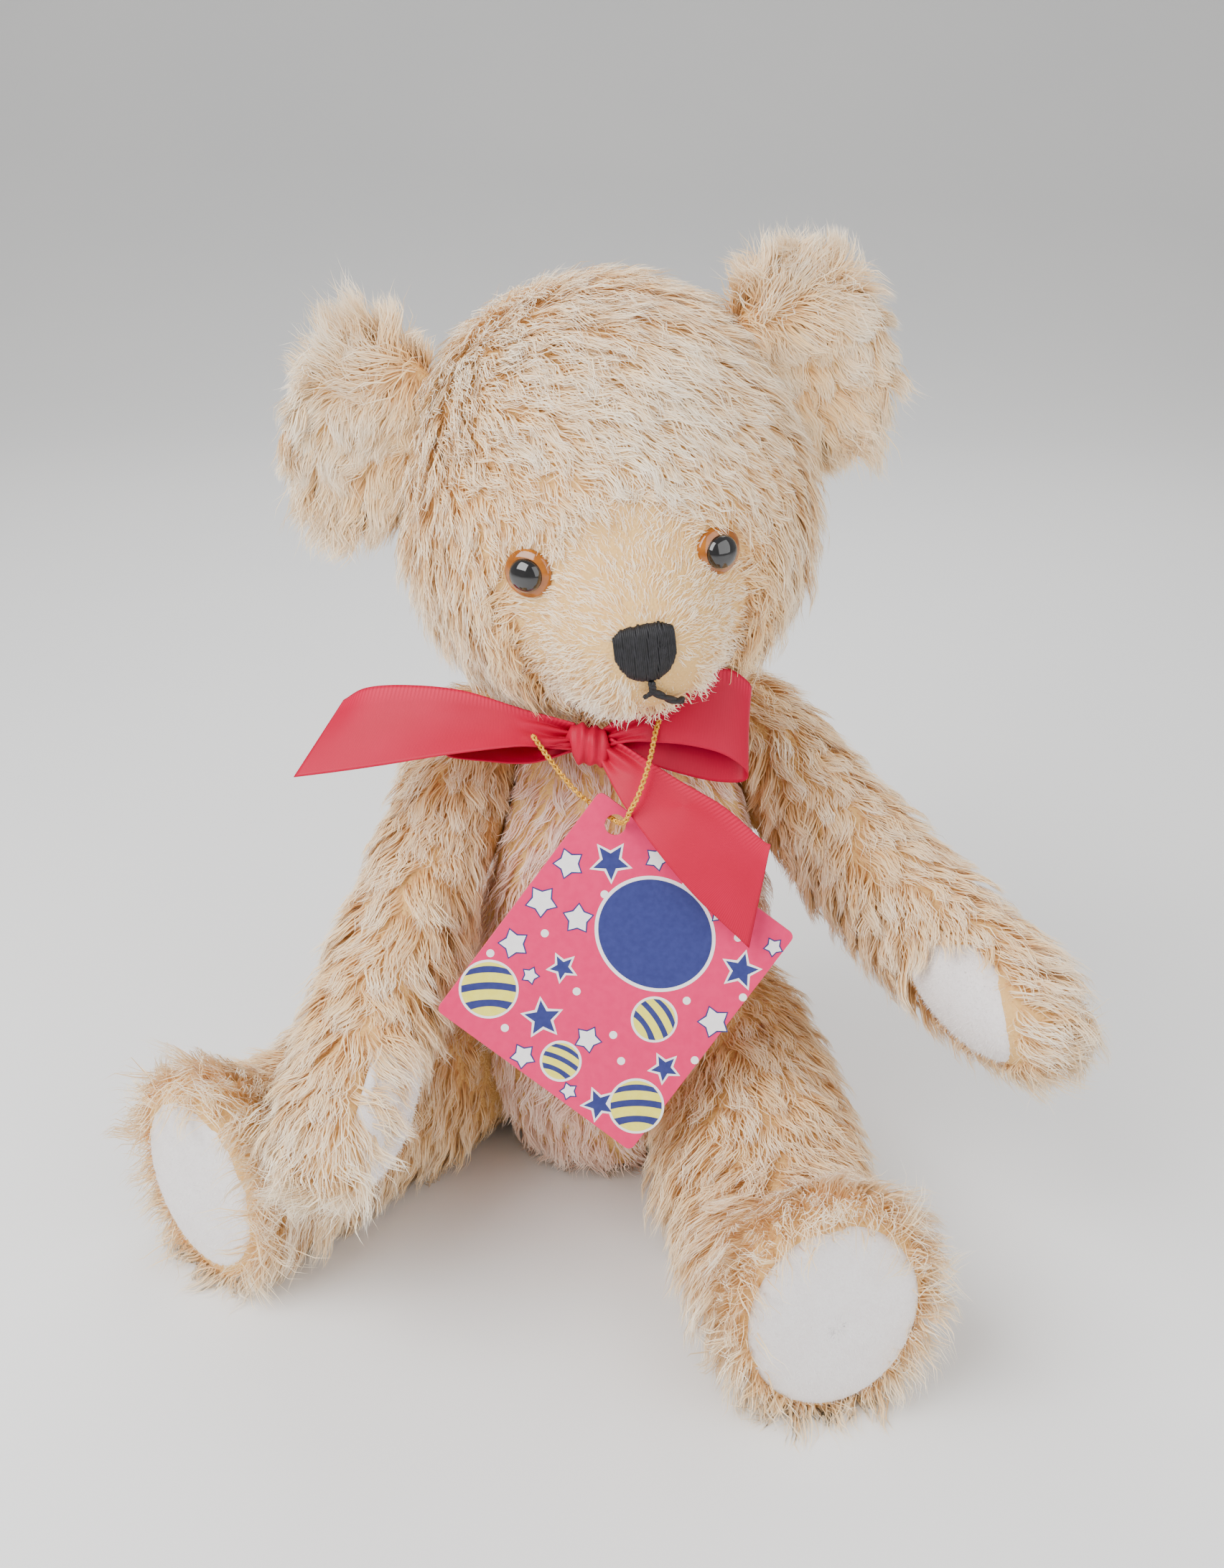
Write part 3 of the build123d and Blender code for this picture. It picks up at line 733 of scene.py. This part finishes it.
def leg_style(side):
    place = LEGS[side]

    def style(p, n):
        q = place.local(p)
        x, u, o = q.T
        radial = vectors(0, u / SOLE_TALL, (o - SOLE_Z) / SOLE_WIDE)
        sole = (np.linalg.norm(radial, axis=1) < 1.0) & (x > SOLE_X)
        inner = step(20 - o, 0, 14) * step(x, 12, 50) * (side == "left")
        length = 12.0 + 8.0 * step(x, 72, 104) * (1 - inner) + 11.0 * inner
        length = np.where(sole, 0, length)
        foot = step(x, 78, 106)
        flow = blend((0.55, -0.2, 0.1), unit(radial) + (0.42, 0, 0), foot)
        over_sole = (rng.random(len(x)) < 0.35) * step(x, 100, 108)
        flow = flow + ((0.9, 0, 0) - 1.1 * unit(radial)) * over_sole[:, None]
        flow = place.turn(flow) + (0, 0, -0.5) * (1 - foot[:, None])
        lift = 0.46 + 0.16 * foot + 0.2 * inner - 0.3 * over_sole
        return comb(length, lift, flow, tone=0.45 * foot - 0.2)
    return style


def eye_seat(sign):
    """Where an eye sits in the head's frame, and its outward direction."""
    side, up = (20.8, 1.2) if sign > 0 else (-22.6, 3.2)
    out = unit((side, -sqrt(HEAD_RADIUS**2 - side**2 - up**2), up))
    return out * HEAD_RADIUS, out


def grow_pile():
    amount = 1.0
    plan = [("head_pile_a", "head", head_style, 27000), ("head_pile_b", "head", head_style, 27000),
            ("torso_pile", "torso", torso_style, 27000)]
    for side in SIDES:
        plan += [(f"ear_{side}_pile", "ear_" + side, ear_style(SIGN[side]), 15000),
                 (f"arm_{side}_pile", "arm_" + side, arm_style(side), 24000),
                 (f"leg_{side}_pile", "leg_" + side, leg_style(side), 28000)]
    near = {"head": ["torso"], "torso": ["arm_left", "arm_right", "leg_left", "leg_right", "head"]}
    for name, part, style, count in plan:
        body = "head" if part.startswith("ear") else part
        others = [trees[other] for other in near.get(part, ["torso"] if body == part else [])]
        if part in ("leg_right", "arm_right"):
            others.append(trees["arm_right" if part == "leg_right" else "leg_right"])
        wide = 0.00036 if amount == 1 else 0.0006
        obj = pile(name, cloth[part], int(count * amount), style, others, wide)
        # The torso gets the pinker pile, which carries painted shade and painted reflection.
        finish(obj, TORSO_FUR_PAINTED_SHADE if part == "torso" else FUR, body)


grow_pile()


# ---- felt pads
def disc_faces(rings, around):
    faces = [(0, 1 + k, 1 + (k + 1) % around) for k in range(around)]
    for r in range(rings - 1):
        low, high = 1 + r * around, 1 + (r + 1) * around
        for k in range(around):
            n = (k + 1) % around
            faces.append((low + k, high + k, high + n, low + n))
    return faces


def felt_pad(name, body, place, spot, stitches):
    """A crowned felt oval. spot gives local points and outward directions for unit-disc points."""
    rings, around = 26, 96
    r = np.concatenate([[0], np.repeat(np.arange(1, rings + 1) / rings, around)])
    a = np.concatenate([[0], np.tile(np.arange(around) / around * FULL_TURN, rings)])
    local, out = spot(r * np.cos(a), r * np.sin(a))
    crown = 1.3 * (1 - r**2) - 1.7 * step(r, 0.93, 1.0) + rng.normal(0, 0.03, len(r))
    crown += 0.12 * np.sin(a * stitches) * step(r, 0.84, 0.93) * (1 - step(r, 0.95, 1))
    points = place.world(local + out * crown[:, None])
    obj = shape(name, points, disc_faces(rings, around))
    modify(obj, "SOLIDIFY", thickness=1.2 * MM, offset=-1)
    settle(obj)
    finish(obj, FELT, body)
    fuzz_points, fuzz_out = scatter(obj.data, 9000)
    outward = place.turn(out.mean(0))
    keep = (fuzz_out * outward).sum(1) > 0.25
    fuzz_points, fuzz_out = fuzz_points[keep], fuzz_out[keep]
    many = len(fuzz_points)
    lean = unit(rng.normal(0, 1, (many, 3)))
    path = [fuzz_points - fuzz_out * 0.0001]
    for _ in range(2):
        path.append(path[-1] + (fuzz_out * 0.45 + lean * 0.6) * rng.uniform(0.0003, 0.0008, (many, 1)))
    fuzz = strands(name + "_fuzz", np.array(path), np.full(many, 0.00012), unit(lean + fuzz_out),
                   rng.random(many))
    finish(fuzz, FUZZ, body)
    return obj


def make_pads():
    for side in SIDES:
        leg, arm = LEGS[side], ARMS[side]
        sole = np.array([v.co for v in frame["nodes"][f"foot_pad_{side}"].data.vertices])
        end = leg.local(sole)[:, 0].max()

        def sole_spot(c, s, end=end):
            local = vectors(end - 0.2, c * SOLE_TALL, SOLE_Z + s * SOLE_WIDE)
            return local, np.tile((1.0, 0, 0), (len(c), 1))

        def paw_spot(c, s, arm=arm, tree=trees["arm_" + side]):
            local = vectors(PAW_X + c * PAW_LONG, 0.5 + s * PAW_WIDE, -20)
            hits = []
            for p in local:
                start = Vector(arm.world(p))
                hit = tree.ray_cast(start, Vector(arm.turn((0, 0, 1.0))))
                hits.append(arm.local(np.array(hit[0]))[2] if hit[0] else 16.0)
            local[:, 2] = np.minimum(np.array(hits), 15.0)
            return local, unit(vectors(0.35 * c, 0.5 * s, -1))

        sole_pad = felt_pad(f"sole_{side}", "leg_" + side, leg, sole_spot, 40)
        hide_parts(f"foot_pad_{side}")
        paw = felt_pad(f"paw_{side}", "arm_" + side, arm, paw_spot, 30)
        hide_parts(f"paw_pad_{side}")


# ---- face
def tube(path, radius, around):
    """Vertices and faces of a closed tube along points."""
    path = np.asarray(path, float)
    ahead = unit(np.gradient(path, axis=0))
    side = unit(np.cross(ahead, (0.01, 0.02, 1.0)))
    top = np.cross(side, ahead)
    a = (np.arange(around) / around * FULL_TURN)[None, :, None]
    ring = path[:, None] + radius * (side[:, None] * np.cos(a) + top[:, None] * np.sin(a))
    return ring.reshape(-1, 3), tube_faces(len(path), around)


def join_shapes(name, parts):
    verts, faces, base = [], [], 0
    for v, f in parts:
        verts.append(np.asarray(v))
        faces += [tuple(i + base for i in face) for face in f]
        base += len(v)
    return shape(name, np.concatenate(verts), faces)


def lathe(name, place_point, out, profile, around=48):
    """A turned shape about a direction: profile is (radius, height) pairs in millimetres."""
    side = unit(np.cross(out, (0.3, 0.2, 1.0)))
    over = np.cross(out, side)
    a = np.arange(around) / around * FULL_TURN
    ring = np.cos(a)[:, None] * side + np.sin(a)[:, None] * over
    verts = [place_point + ring * radius * MM + out * height * MM for radius, height in profile]
    return shape(name, np.concatenate(verts), tube_faces(len(profile), around))


def dome(radius, low, high):
    """A profile that curves in from a rim at low to a flat middle at high."""
    turns = np.linspace(0, pi / 2, 10)
    return [(max(radius * cos(t), 0.15), low + (high - low) * sin(t)) for t in turns]


def make_eyes():
    for side in SIDES:
        spot, out = eye_seat(SIGN[side])
        point, ahead = HEAD.world(spot), HEAD.turn(out)
        amber = lathe(f"amber_{side}", point, ahead, [(5.6, -0.6), (5.8, 0.2)] + dome(5.8, 0.6, 2.4))
        pupil = lathe(f"pupil_dome_{side}", point, ahead, [(4.0, 1.2)] + dome(4.05, 2.0, 4.4))
        finish(amber, AMBER, "head")
        finish(pupil, PUPIL, "head")
        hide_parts("eye_" + side)
        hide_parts("pupil_" + side)


def face_point(x, z, lift):
    """A point of the muzzle's front at x, z in the head's frame, lifted along its normal."""
    start = Vector(HEAD.world((x, -110, z)))
    hit = trees["head"].ray_cast(start, Vector(HEAD.turn((0, 1.0, 0))))
    return np.array(hit[0]) + np.array(hit[1]) * lift * MM


def nose_edge(x):
    """Lowest and highest z of the embroidered nose at x."""
    t = min(abs(x) / 6.9, 1)
    high = -7.6 + 0.9 * cos(t * 1.5) - 1.5 * t**6
    low = -20.0 + 1.0 * t**2 + 5.4 * t**3.2
    return low, high


def make_nose():
    threads = []
    for x in np.arange(-6.7, 6.71, 0.42):
        low, high = nose_edge(x)
        low, high = low + rng.normal(0, 0.12), high + rng.normal(0, 0.12)
        t = np.linspace(0, 1, 18)
        slant = 0.035 * (t - 0.5) * (high - low)
        path = []
        for s, shift in zip(t, slant):
            end = min(s, 1 - s) * 7
            swell = 1.25 * sqrt(max(1 - (x / 7.6) ** 2, 0)) * min(end, 1) ** 0.5
            path.append(face_point(x + shift, low + (high - low) * s, 0.15 + swell))
        threads.append(tube(path, 0.00034 + abs(rng.normal(0, 0.00003)), 6))
    obj = join_shapes("nose_stitching", threads)
    grid, across, up = [], 24, 20
    for i in range(across + 1):
        x = -6.6 + 13.2 * i / across
        low, high = nose_edge(x)
        for k in range(up + 1):
            s = k / up
            swell = 1.05 * sqrt(max(1 - (x / 7.6) ** 2, 0)) * min(min(s, 1 - s) * 7, 1) ** 0.5
            grid.append(face_point(x, low + (high - low) * s, swell))
    under = shape("nose_base", grid, [face[::-1] for face in grid_faces(across + 1, up + 1)])
    modify(under, "SOLIDIFY", thickness=0.8 * MM, offset=-1)
    settle(under)
    strokes = [
        ([(0.1, -19.6), (0.2, -21.2), (0.2, -22.8)], 0.9),
        ([(0.0, -22.2), (1.8, -23.9), (3.7, -26.2), (5.7, -28.2), (7.0, -29.0)], 0.95),
        ([(0.4, -22.2), (-0.6, -23.1), (-1.6, -23.9)], 0.6),
    ]
    parts = []
    for points, radius in strokes:
        line = np.array(points)
        fine = np.stack([np.interp(np.linspace(0, len(line) - 1, 16), range(len(line)), line[:, i])
                         for i in (0, 1)], 1)
        core = np.array([face_point(x, z, 1.5) for x, z in fine])
        side = unit(np.cross(np.gradient(core, axis=0), HEAD.turn((0, 1.0, 0))))
        for turn in (0, pi):
            swirl = np.linspace(0, 9, len(core)) + turn
            wave = side * (np.sin(swirl) * radius * 0.35 * MM)[:, None]
            wave += HEAD.turn((0, -1.0, 0)) * (np.cos(swirl) * radius * 0.35 * MM)[:, None]
            parts.append(tube(core + wave, radius * 0.72 * MM, 7))
    mouth = join_shapes("mouth_stitching", parts)
    for piece in (obj, under, mouth):
        finish(piece, THREAD, "head")
    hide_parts("nose")
    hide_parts("mouth")


# ---- ribbon
def smooth_rows(rows, steps):
    """Catmull-Rom points through rows of values."""
    rows = np.array(rows, float)
    padded_rows = np.concatenate([2 * rows[:1] - rows[1:2], rows, 2 * rows[-1:] - rows[-2:-1]])
    out = []
    for i in range(len(rows) - 1):
        a, b, c, d = padded_rows[i:i + 4]
        for t in np.linspace(0, 1, steps, endpoint=False):
            out.append(0.5 * (2 * b + (c - a) * t + (2 * a - 5 * b + 4 * c - d) * t**2
                              + (3 * b - a - 3 * c + d) * t**3))
    out.append(rows[-1])
    return np.array(out)


def along_line(points):
    """How far along a line each of its points lies."""
    return np.concatenate([[0], np.cumsum(np.linalg.norm(np.diff(points, axis=0), axis=1))])


def ribbon(name, rows, pleats, bulge=None, steps=12, across=26):
    """A satin strip between two edges. rows are (first edge point, second edge point) in millimetres."""
    rows = smooth_rows([np.concatenate(row) for row in rows], steps)
    one, two = rows[:, :3], rows[:, 3:]
    count = len(rows)
    u = np.linspace(0, 1, across)
    grid = one[:, None] * (1 - u)[None, :, None] + two[:, None] * u[None, :, None]
    ahead = unit(np.gradient((one + two) / 2, axis=0))
    normal = unit(np.cross(ahead, unit(two - one)))
    along = np.linspace(0, 1, count)
    folds, depth = pleats
    amount = np.array([depth(t) for t in along])[:, None]
    wave = np.sin(u[None] * folds * FULL_TURN + 1.1 * np.sin(along[:, None] * 9 + 4 * u[None]))
    grid += normal[:, None] * (wave * amount)[:, :, None]
    if bulge is not None:
        swell = np.array([[bulge(s, t) for s in u] for t in along])
        grid += normal[:, None] * swell[:, :, None]
    far = along_line((one + two) / 2) * MM
    obj = shape(name, SHIFT + grid.reshape(-1, 3) * MM, grid_faces(count, across))
    corner = np.array([loop.vertex_index for loop in obj.data.loops])
    write_uv(obj.data, "Ribbon", np.stack([RIBBON_WIDTH * u[corner % across], far[corner // across]], 1))
    modify(obj, "SOLIDIFY", thickness=RIBBON_THICK * MM, offset=0)
    settle(obj)
    smooth_shaded(obj.data)
    finish(obj, SATIN, "torso")
    return obj, far[-1]


def make_tail(name, node_name, rows, pleats, bulge):
    """A tail of the bow."""
    tail, long = ribbon(name, rows, pleats, bulge)
    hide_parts(node_name)


def make_bow():
    make_tail("bow_tail_right", "ribbon_tail_right", [
        ((-9.5, -36.2, 140.4), (-9.5, -33.5, 144.4)),
        ((-16, -39.8, 141.6), (-16, -34.5, 147.5)),
        ((-24, -41.5, 142.2), (-25, -33, 149.8)),
        ((-39.5, -42.0, 140.2), (-37, -29, 151.3)),
        ((-55.4, -41.0, 136.8), (-50.5, -26.0, 151.0)),
        ((-66.5, -39.5, 134.4), (-61, -24.3, 149.8)),
        ((-78.6, -38.0, 132.2), (-67.3, -24.0, 147.0)),
    ], (3, lambda t: 1.5 * max(1 - t * 3.2, 0)),
        lambda s, t: 0.9 * sin(t * 7) * (0.4 + s) + 1.3 * sin(s * 3.14) * (1 - t))
    make_tail("bow_tail_left", "ribbon_tail_left", [
        ((-3.5, -37.0, 138.3), (0.2, -36.0, 141.6)),
        ((-1.2, -41.8, 134.8), (8.2, -41.2, 138.6)),
        ((3.0, -47.5, 129.0), (16.5, -44.8, 134.5)),
        ((10.6, -54.0, 120.5), (27.2, -49.0, 129.6)),
        ((20.0, -58.5, 110.2), (36.2, -53.0, 122.8)),
        ((33.4, -61.8, 97.4), (38.4, -53.6, 121.6)),
    ], (2.5, lambda t: 1.3 * max(1 - t * 3.5, 0)),
        lambda s, t: 0.8 * sin(s * 3.14) * (1 - t) + 0.5 * sin(t * 6) * s)
    make_loop("bow_loop_left_satin", "bow_loop_left", [
        (-1.6, -35.5, 140.6), (4.8, -38.6, 143.4), (11.4, -40.4, 143.6), (18.7, -41.2, 142.7),
        (26.2, -41.2, 140.3), (31.2, -40.4, 136.6), (33.2, -39.4, 133.3), (31.7, -38.0, 130.7),
        (25.0, -37.2, 130.6), (16.6, -37.0, 133.0), (9.0, -37.0, 136.2), (3.2, -36.4, 138.6),
        (-1.6, -34.6, 139.2)], (0.06, 0.50, 0.86), 15.5)
    make_loop("bow_loop_right_satin", "bow_loop_right", [
        (-9.4, -35.5, 139.9), (-16.6, -37.6, 141.3), (-24.8, -38.2, 142.0), (-33.1, -37.8, 141.2),
        (-39.2, -37.0, 138.9), (-40.9, -36.2, 137.4), (-39.3, -35.4, 136.1), (-31.9, -34.9, 135.2),
        (-23.5, -34.7, 134.9), (-16.8, -34.7, 136.0), (-9.4, -34.4, 138.3)], (-0.05, 0.96, 0.28), 9.0)
    make_knot()
    make_neckband()


def make_loop(name, node_name, front, back_way, spread):
    """A loop of ribbon: its front edge runs out from the knot and back, gathered at both ends."""
    way = unit(back_way)
    rows = []
    for p, t in zip(front, np.linspace(0, 1, len(front))):
        opened = float(step(min(t, 1 - t) * 2, 0.0, 0.75))
        start = np.array(p) - way * 1.5 * (1 - opened)
        rows.append((start, start + way * (6.0 + spread * opened)))
    obj, long = ribbon(name, rows, (3, lambda t: 1.0 * max(1 - min(t, 1 - t) * 7, 0)),
                       lambda s, t: 0.35 * sin(s * 3.14 + t * 5), steps=8)
    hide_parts(node_name)


def make_knot():
    """The knot: a strip wrapped round the gathered ribbons, pleated and twisted."""
    middle = np.array((-5.6, -36.2, 140.0))
    across, front = unit((1.0, -0.1, -0.12)), (0.0, -1.0, 0.25)
    ahead = unit(front - across * np.dot(front, across))
    over = np.cross(across, ahead)
    rings, around = 34, 60
    verts = []
    for i in range(rings + 1):
        s = i / rings * 2 - 1
        for k in range(around):
            a = k / around * FULL_TURN
            waist = sqrt(max(1 - abs(s) ** 3.2, 0.0)) * 0.9 + 0.1
            pleat = 0.42 * sin(s * 11 + a * 1.0) + 0.3 * sin(s * 5 - a * 2 + 1)
            deep, tall = (3.6 + pleat) * waist, (5.0 + pleat) * waist
            slide = s * 5.2 + 0.9 * sin(a + 0.6)
            verts.append(middle + across * slide + ahead * cos(a) * deep + over * sin(a) * tall)
    obj = shape("bow_knot", SHIFT + np.array(verts) * MM, tube_faces(rings + 1, around))
    write_uv(obj.data, "Ribbon", [(0.003 + 0.019 * (loop.vertex_index // around) / rings,
                                   0.03 * (loop.vertex_index % around) / around)
                                  for loop in obj.data.loops])
    finish(obj, SATIN, "torso")
    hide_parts("ribbon_knot")


def make_neckband():
    """The ribbon round the neck, gathered into soft folds."""
    rows = []
    for i in range(61):
        a = radians(-75 + 330 * i / 60)
        wobble = 0.3 * sin(a * 5)
        point = np.array((3 + 28.6 * cos(a), 3.5 + 28.6 * sin(a), 142.2))
        rows.append((point - (0, 0, 7.6 + wobble), point - (0, 0, 1.3)))
    obj, long = ribbon("neck_ribbon", rows, (4.5, lambda t: 0.95), steps=3, across=44)
    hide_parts("ribbon_neckband")


# ---- tag and its cord
TAG_HOLE = np.array((0.8, -45.7, 123))
TAG_LEAN = 21
LEAF_FRONT, LEAF_BACK, LEAF_THICK = 0.3, -0.35, 0.45


def tag_place():
    lean = radians(TAG_LEAN)
    turn = atan2(30 - 8.0, 34 - 4.5)
    out = np.array((0, -cos(lean), sin(lean)))
    down = np.array((0, -sin(lean), -cos(lean)))
    short = np.array((1.0, 0, 0)) * cos(turn) + down * sin(turn)
    return Place(at(*TAG_HOLE), short, np.cross(out, short), out)


TAG = tag_place()


def curl_of(x, y):
    """How far the card stands from flat, by its place on the card."""
    return 0.5 * ((x - 22) / 30) ** 2 * 0.5 + 0.35 * ((y + 29.5) / 34) ** 2 * 0.5


def card_leaf(name, low, node_name):
    """A card leaf with rounded corners and a punched hole."""
    bm = bmesh.new()
    outline = []
    for cx, cy, first in ((50.4, 2.9, 0), (-6.4, 2.9, 90), (-6.4, -61.9, 180), (50.4, -61.9, 270)):
        for k in range(5):
            a = radians(first + k * 22.5)
            outline.append((cx + 1.6 * cos(a), cy + 1.6 * sin(a)))
    hole = [(2.6 * cos(a), 2.6 * sin(a)) for a in np.arange(28) / 28 * -FULL_TURN]
    loops = []
    for points in (outline, hole):
        ring = [bm.verts.new((x, y, low)) for x, y in points]
        loops += [bm.edges.new((ring[i], ring[(i + 1) % len(ring)])) for i in range(len(ring))]
    bmesh.ops.triangle_fill(bm, use_beauty=True, edges=loops)
    for _ in range(4):
        long_edges = [e for e in bm.edges if e.calc_length() > 5]
        bmesh.ops.subdivide_edges(bm, edges=long_edges, cuts=1)
        bmesh.ops.triangulate(bm, faces=[f for f in bm.faces if len(f.verts) > 3])
    bmesh.ops.recalc_face_normals(bm, faces=bm.faces)
    if sum(f.normal.z for f in bm.faces) < 0:
        bmesh.ops.reverse_faces(bm, faces=bm.faces)
    for v in bm.verts:
        x, y, z = v.co
        v.co = TAG.world((x, y, z + curl_of(x, y)))
    mesh = bpy.data.meshes.new(name)
    bm.to_mesh(mesh)
    bm.free()
    obj = link(name, mesh)
    modify(obj, "SOLIDIFY", thickness=LEAF_THICK * MM, offset=0)
    modify(obj, "BEVEL", width=0.08 * MM, segments=2)
    settle(obj)
    finish(obj, CARD, "tag")
    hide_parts(node_name)


def printed(name, outlines, level, ink):
    """Flat printed shapes that follow the card's curve: outlines are lists of x, y in millimetres."""
    verts, faces = [], []
    for points in outlines:
        points = np.array(points, float)
        base, many = len(verts), len(points)
        middle = points.mean(0)
        verts += [TAG.world((x, y, level + curl_of(x, y))) for x, y in [middle, *points]]
        faces += [(base, base + 1 + k, base + 1 + (k + 1) % many) for k in range(many)]
    obj = shape(name, verts, faces, smooth=False)
    modify(obj, "SOLIDIFY", thickness=0.03 * MM, offset=-1)
    settle(obj)
    finish(obj, ink, "tag")


def oval(x, y, wide, tall, many=64):
    a = np.arange(many) / many * FULL_TURN
    return np.stack([x + wide * np.cos(a), y + tall * np.sin(a)], 1)


def star(x, y, size, turn, waist=0.45):
    """A star of five points. waist is its inner radius as a share of its outer one."""
    corner = np.arange(10)
    a = np.radians(turn) + corner / 10 * FULL_TURN
    r = np.where(corner % 2 == 0, size, size * waist)
    return np.stack([x + r * np.cos(a), y + r * np.sin(a)], 1)


def bands(x, y, r, turn, edges):
    """Curved stripes of a ball, each between two heights as shares of its radius."""
    made = []
    t = radians(turn)
    for low, high in edges:
        top = np.linspace(-1, 1, 15)
        rows = [(np.sqrt(1 - h * h) * top * r, (h + 0.12 * (1 - top**2)) * r) for h in (low, high)]
        px = np.concatenate([rows[0][0], rows[1][0][::-1]])
        py = np.concatenate([rows[0][1], rows[1][1][::-1]])
        made.append(np.stack([x + px * cos(t) - py * sin(t), y + px * sin(t) + py * cos(t)], 1))
    return made


def make_tag():
    card_leaf("tag_card_front", LEAF_FRONT, "tag_front_leaf")
    card_leaf("tag_card_back", LEAF_BACK, "tag_back_leaf")
    top = LEAF_FRONT + 0.24
    white, blue, yellow, blue_top, white_top = [], [], [], [], []
    balls = [(-0.6, -51.5, 6.8, 37), (36.8, -33.2, 5.2, -20), (24.5, -55.5, 4.6, 10), (46.3, -53.4, 6.4, 37)]
    for x, y, r, turn in balls:
        white.append(oval(x, y, r + 0.6, r + 0.6))
        yellow.append(oval(x, y, r, r))
        blue_top += bands(x, y, r, turn, [(-0.75, -0.5), (-0.12, 0.14), (0.5, 0.74)])
    for x, y, size, turn in ((4.6, -8.0, 4.6, 20), (14.4, -49.5, 4.6, 60), (38.6, -58.6, 3.8, 5),
                             (46.5, -10.5, 4.4, 40), (46.2, -41.5, 3.4, 10), (10.8, -36.3, 3.2, 80)):
        white.append(star(x, y, size + 1.0, turn, waist=0.5))
        blue.append(star(x, y, size, turn))
    for x, y, size, turn in ((-3.4, -14.5, 3.6, 0), (13.2, -0.6, 2.8, 30), (-3.2, -26.0, 3.8, 15),
                             (6.6, -24.2, 3.6, 50), (-2.4, -38.6, 3.6, 70), (26.6, -47.0, 3.2, 25),
                             (49.0, -24.8, 3.8, 0), (34.0, -1.2, 3.4, 45), (16.2, -60.0, 3.0, 10),
                             (49.4, -1.0, 2.2, 10), (30.6, -60.4, 2.0, 0), (5.6, -42.6, 2.0, 30)):
        blue.append(star(x, y, size + 0.5, turn, waist=0.62))
        white_top.append(star(x, y, size, turn, waist=0.6))
    for x, y in ((8.2, -15.4), (22.8, -1.4), (41.0, -4.4), (2.2, -32.0), (17.2, -39.0), (31.0, -42.4),
                 (36.5, -46.5), (8.4, -57.0), (51.0, -15.6), (-5.6, -44.0), (51.0, -35.4), (40.4, -24.6)):
        white.append(oval(x, y, 1.0, 1.0, many=20))
    white.append(oval(24.1, -15.9, 15.4, 14.0, many=96))
    blue_top.append(oval(24.1, -15.9, 14.5, 13.1, many=96))
    printed("print_white", white, top + 0.02, INK_WHITE)
    printed("print_blue", blue, top + 0.06, INK_BLUE)
    printed("print_yellow", yellow, top + 0.06, INK_YELLOW)
    printed("print_blue_top", blue_top, top + 0.10, INK_BLUE)
    printed("print_white_top", white_top, top + 0.12, INK_WHITE)


BRAID_PITCH, BRAID_RADIUS, STRAND_RADIUS = 0.0031, 0.00040, 0.00029


def cord_route():
    """The cord's corner points in millimetres, in the part's drawing."""
    at_tag = [(-14.5, 0.2, -2.6), (-4.6, 0.4, -3.0), (0.2, 0.6, 0.3), (1.4, 2.2, 4.6), (0.4, 5.2, 6.5)]
    points = [(-19.3, -40.0, 144.5)]
    points += [tuple((TAG.world(p) - SHIFT) / MM) for p in at_tag]
    points += [(6.5, -50.5, 133.5), (9.4, -45.2, 141), (11.2, -38, 148.8), (17.5, -26.8, 148.3),
               (28, -14, 143)]
    for i in range(10):
        a = radians(-8 + 236 * i / 9)
        points.append((3 + 30.7 * cos(a), 3.5 + 30.7 * sin(a), 140))
    return [at(*p) for p in points]


def make_cord():
    route = cord_route()
    curve = bpy.data.curves.new("cord_line", "CURVE")
    curve.dimensions, curve.resolution_u = "3D", 24
    spline = curve.splines.new("NURBS")
    spline.points.add(len(route) - 1)
    for point, spot in zip(spline.points, route):
        point.co = (*spot, 1)
    spline.order_u = 3
    spline.use_endpoint_u = True
    holder = link("cord_line", curve)
    bpy.context.view_layer.update()
    line_mesh = bpy.data.meshes.new_from_object(holder)
    line = np.array([v.co for v in line_mesh.vertices])
    bpy.data.objects.remove(holder)
    gaps = along_line(line)
    even = np.linspace(0, gaps[-1], 1100)
    core = np.stack([np.interp(even, gaps, line[:, i]) for i in range(3)], 1)
    ahead = unit(np.gradient(core, axis=0))
    side = [unit(np.cross(ahead[0], (0.2, 0.3, 1.0)))]
    for d in ahead[1:]:
        side.append(unit(side[-1] - d * np.dot(side[-1], d)))
    side = np.array(side)
    over = np.cross(ahead, side)
    parts = []
    twist = even / BRAID_PITCH * FULL_TURN
    for hand in (1, -1):
        weave = (BRAID_RADIUS + 0.00005 * np.sin(twist * 4 + hand * 1.57))[:, None]
        for start in (0, pi):
            a = (hand * twist + start)[:, None]
            parts.append(tube(core + (side * np.cos(a) + over * np.sin(a)) * weave, STRAND_RADIUS, 6))
    obj = join_shapes("gold_cord", parts)
    finish(obj, GOLD, "torso")
    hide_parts("tag_cord")


# ---- what is inside
def finish_inside():
    board = plain_noise("hardboard", (0.22, 0.13, 0.07), (0.34, 0.21, 0.12), 320, 0.75)
    steel = plain_noise("steel", (0.42, 0.42, 0.44), (0.60, 0.60, 0.62), 500, 0.35, 0.00002, Metallic=1.0)
    plastic = plain_noise("lock_plastic", (0.55, 0.54, 0.50), (0.66, 0.65, 0.60), 300, 0.5)
    for name, obj in frame["nodes"].items():
        if "disc" in name:
            dress(obj, board)
        elif "bolt" in name or name == "torso_washers":
            dress(obj, steel)
        elif name == "eye_lock_washers":
            dress(obj, plastic)


make_pads()
make_eyes()
make_nose()
make_bow()
make_tag()
make_cord()
finish_inside()
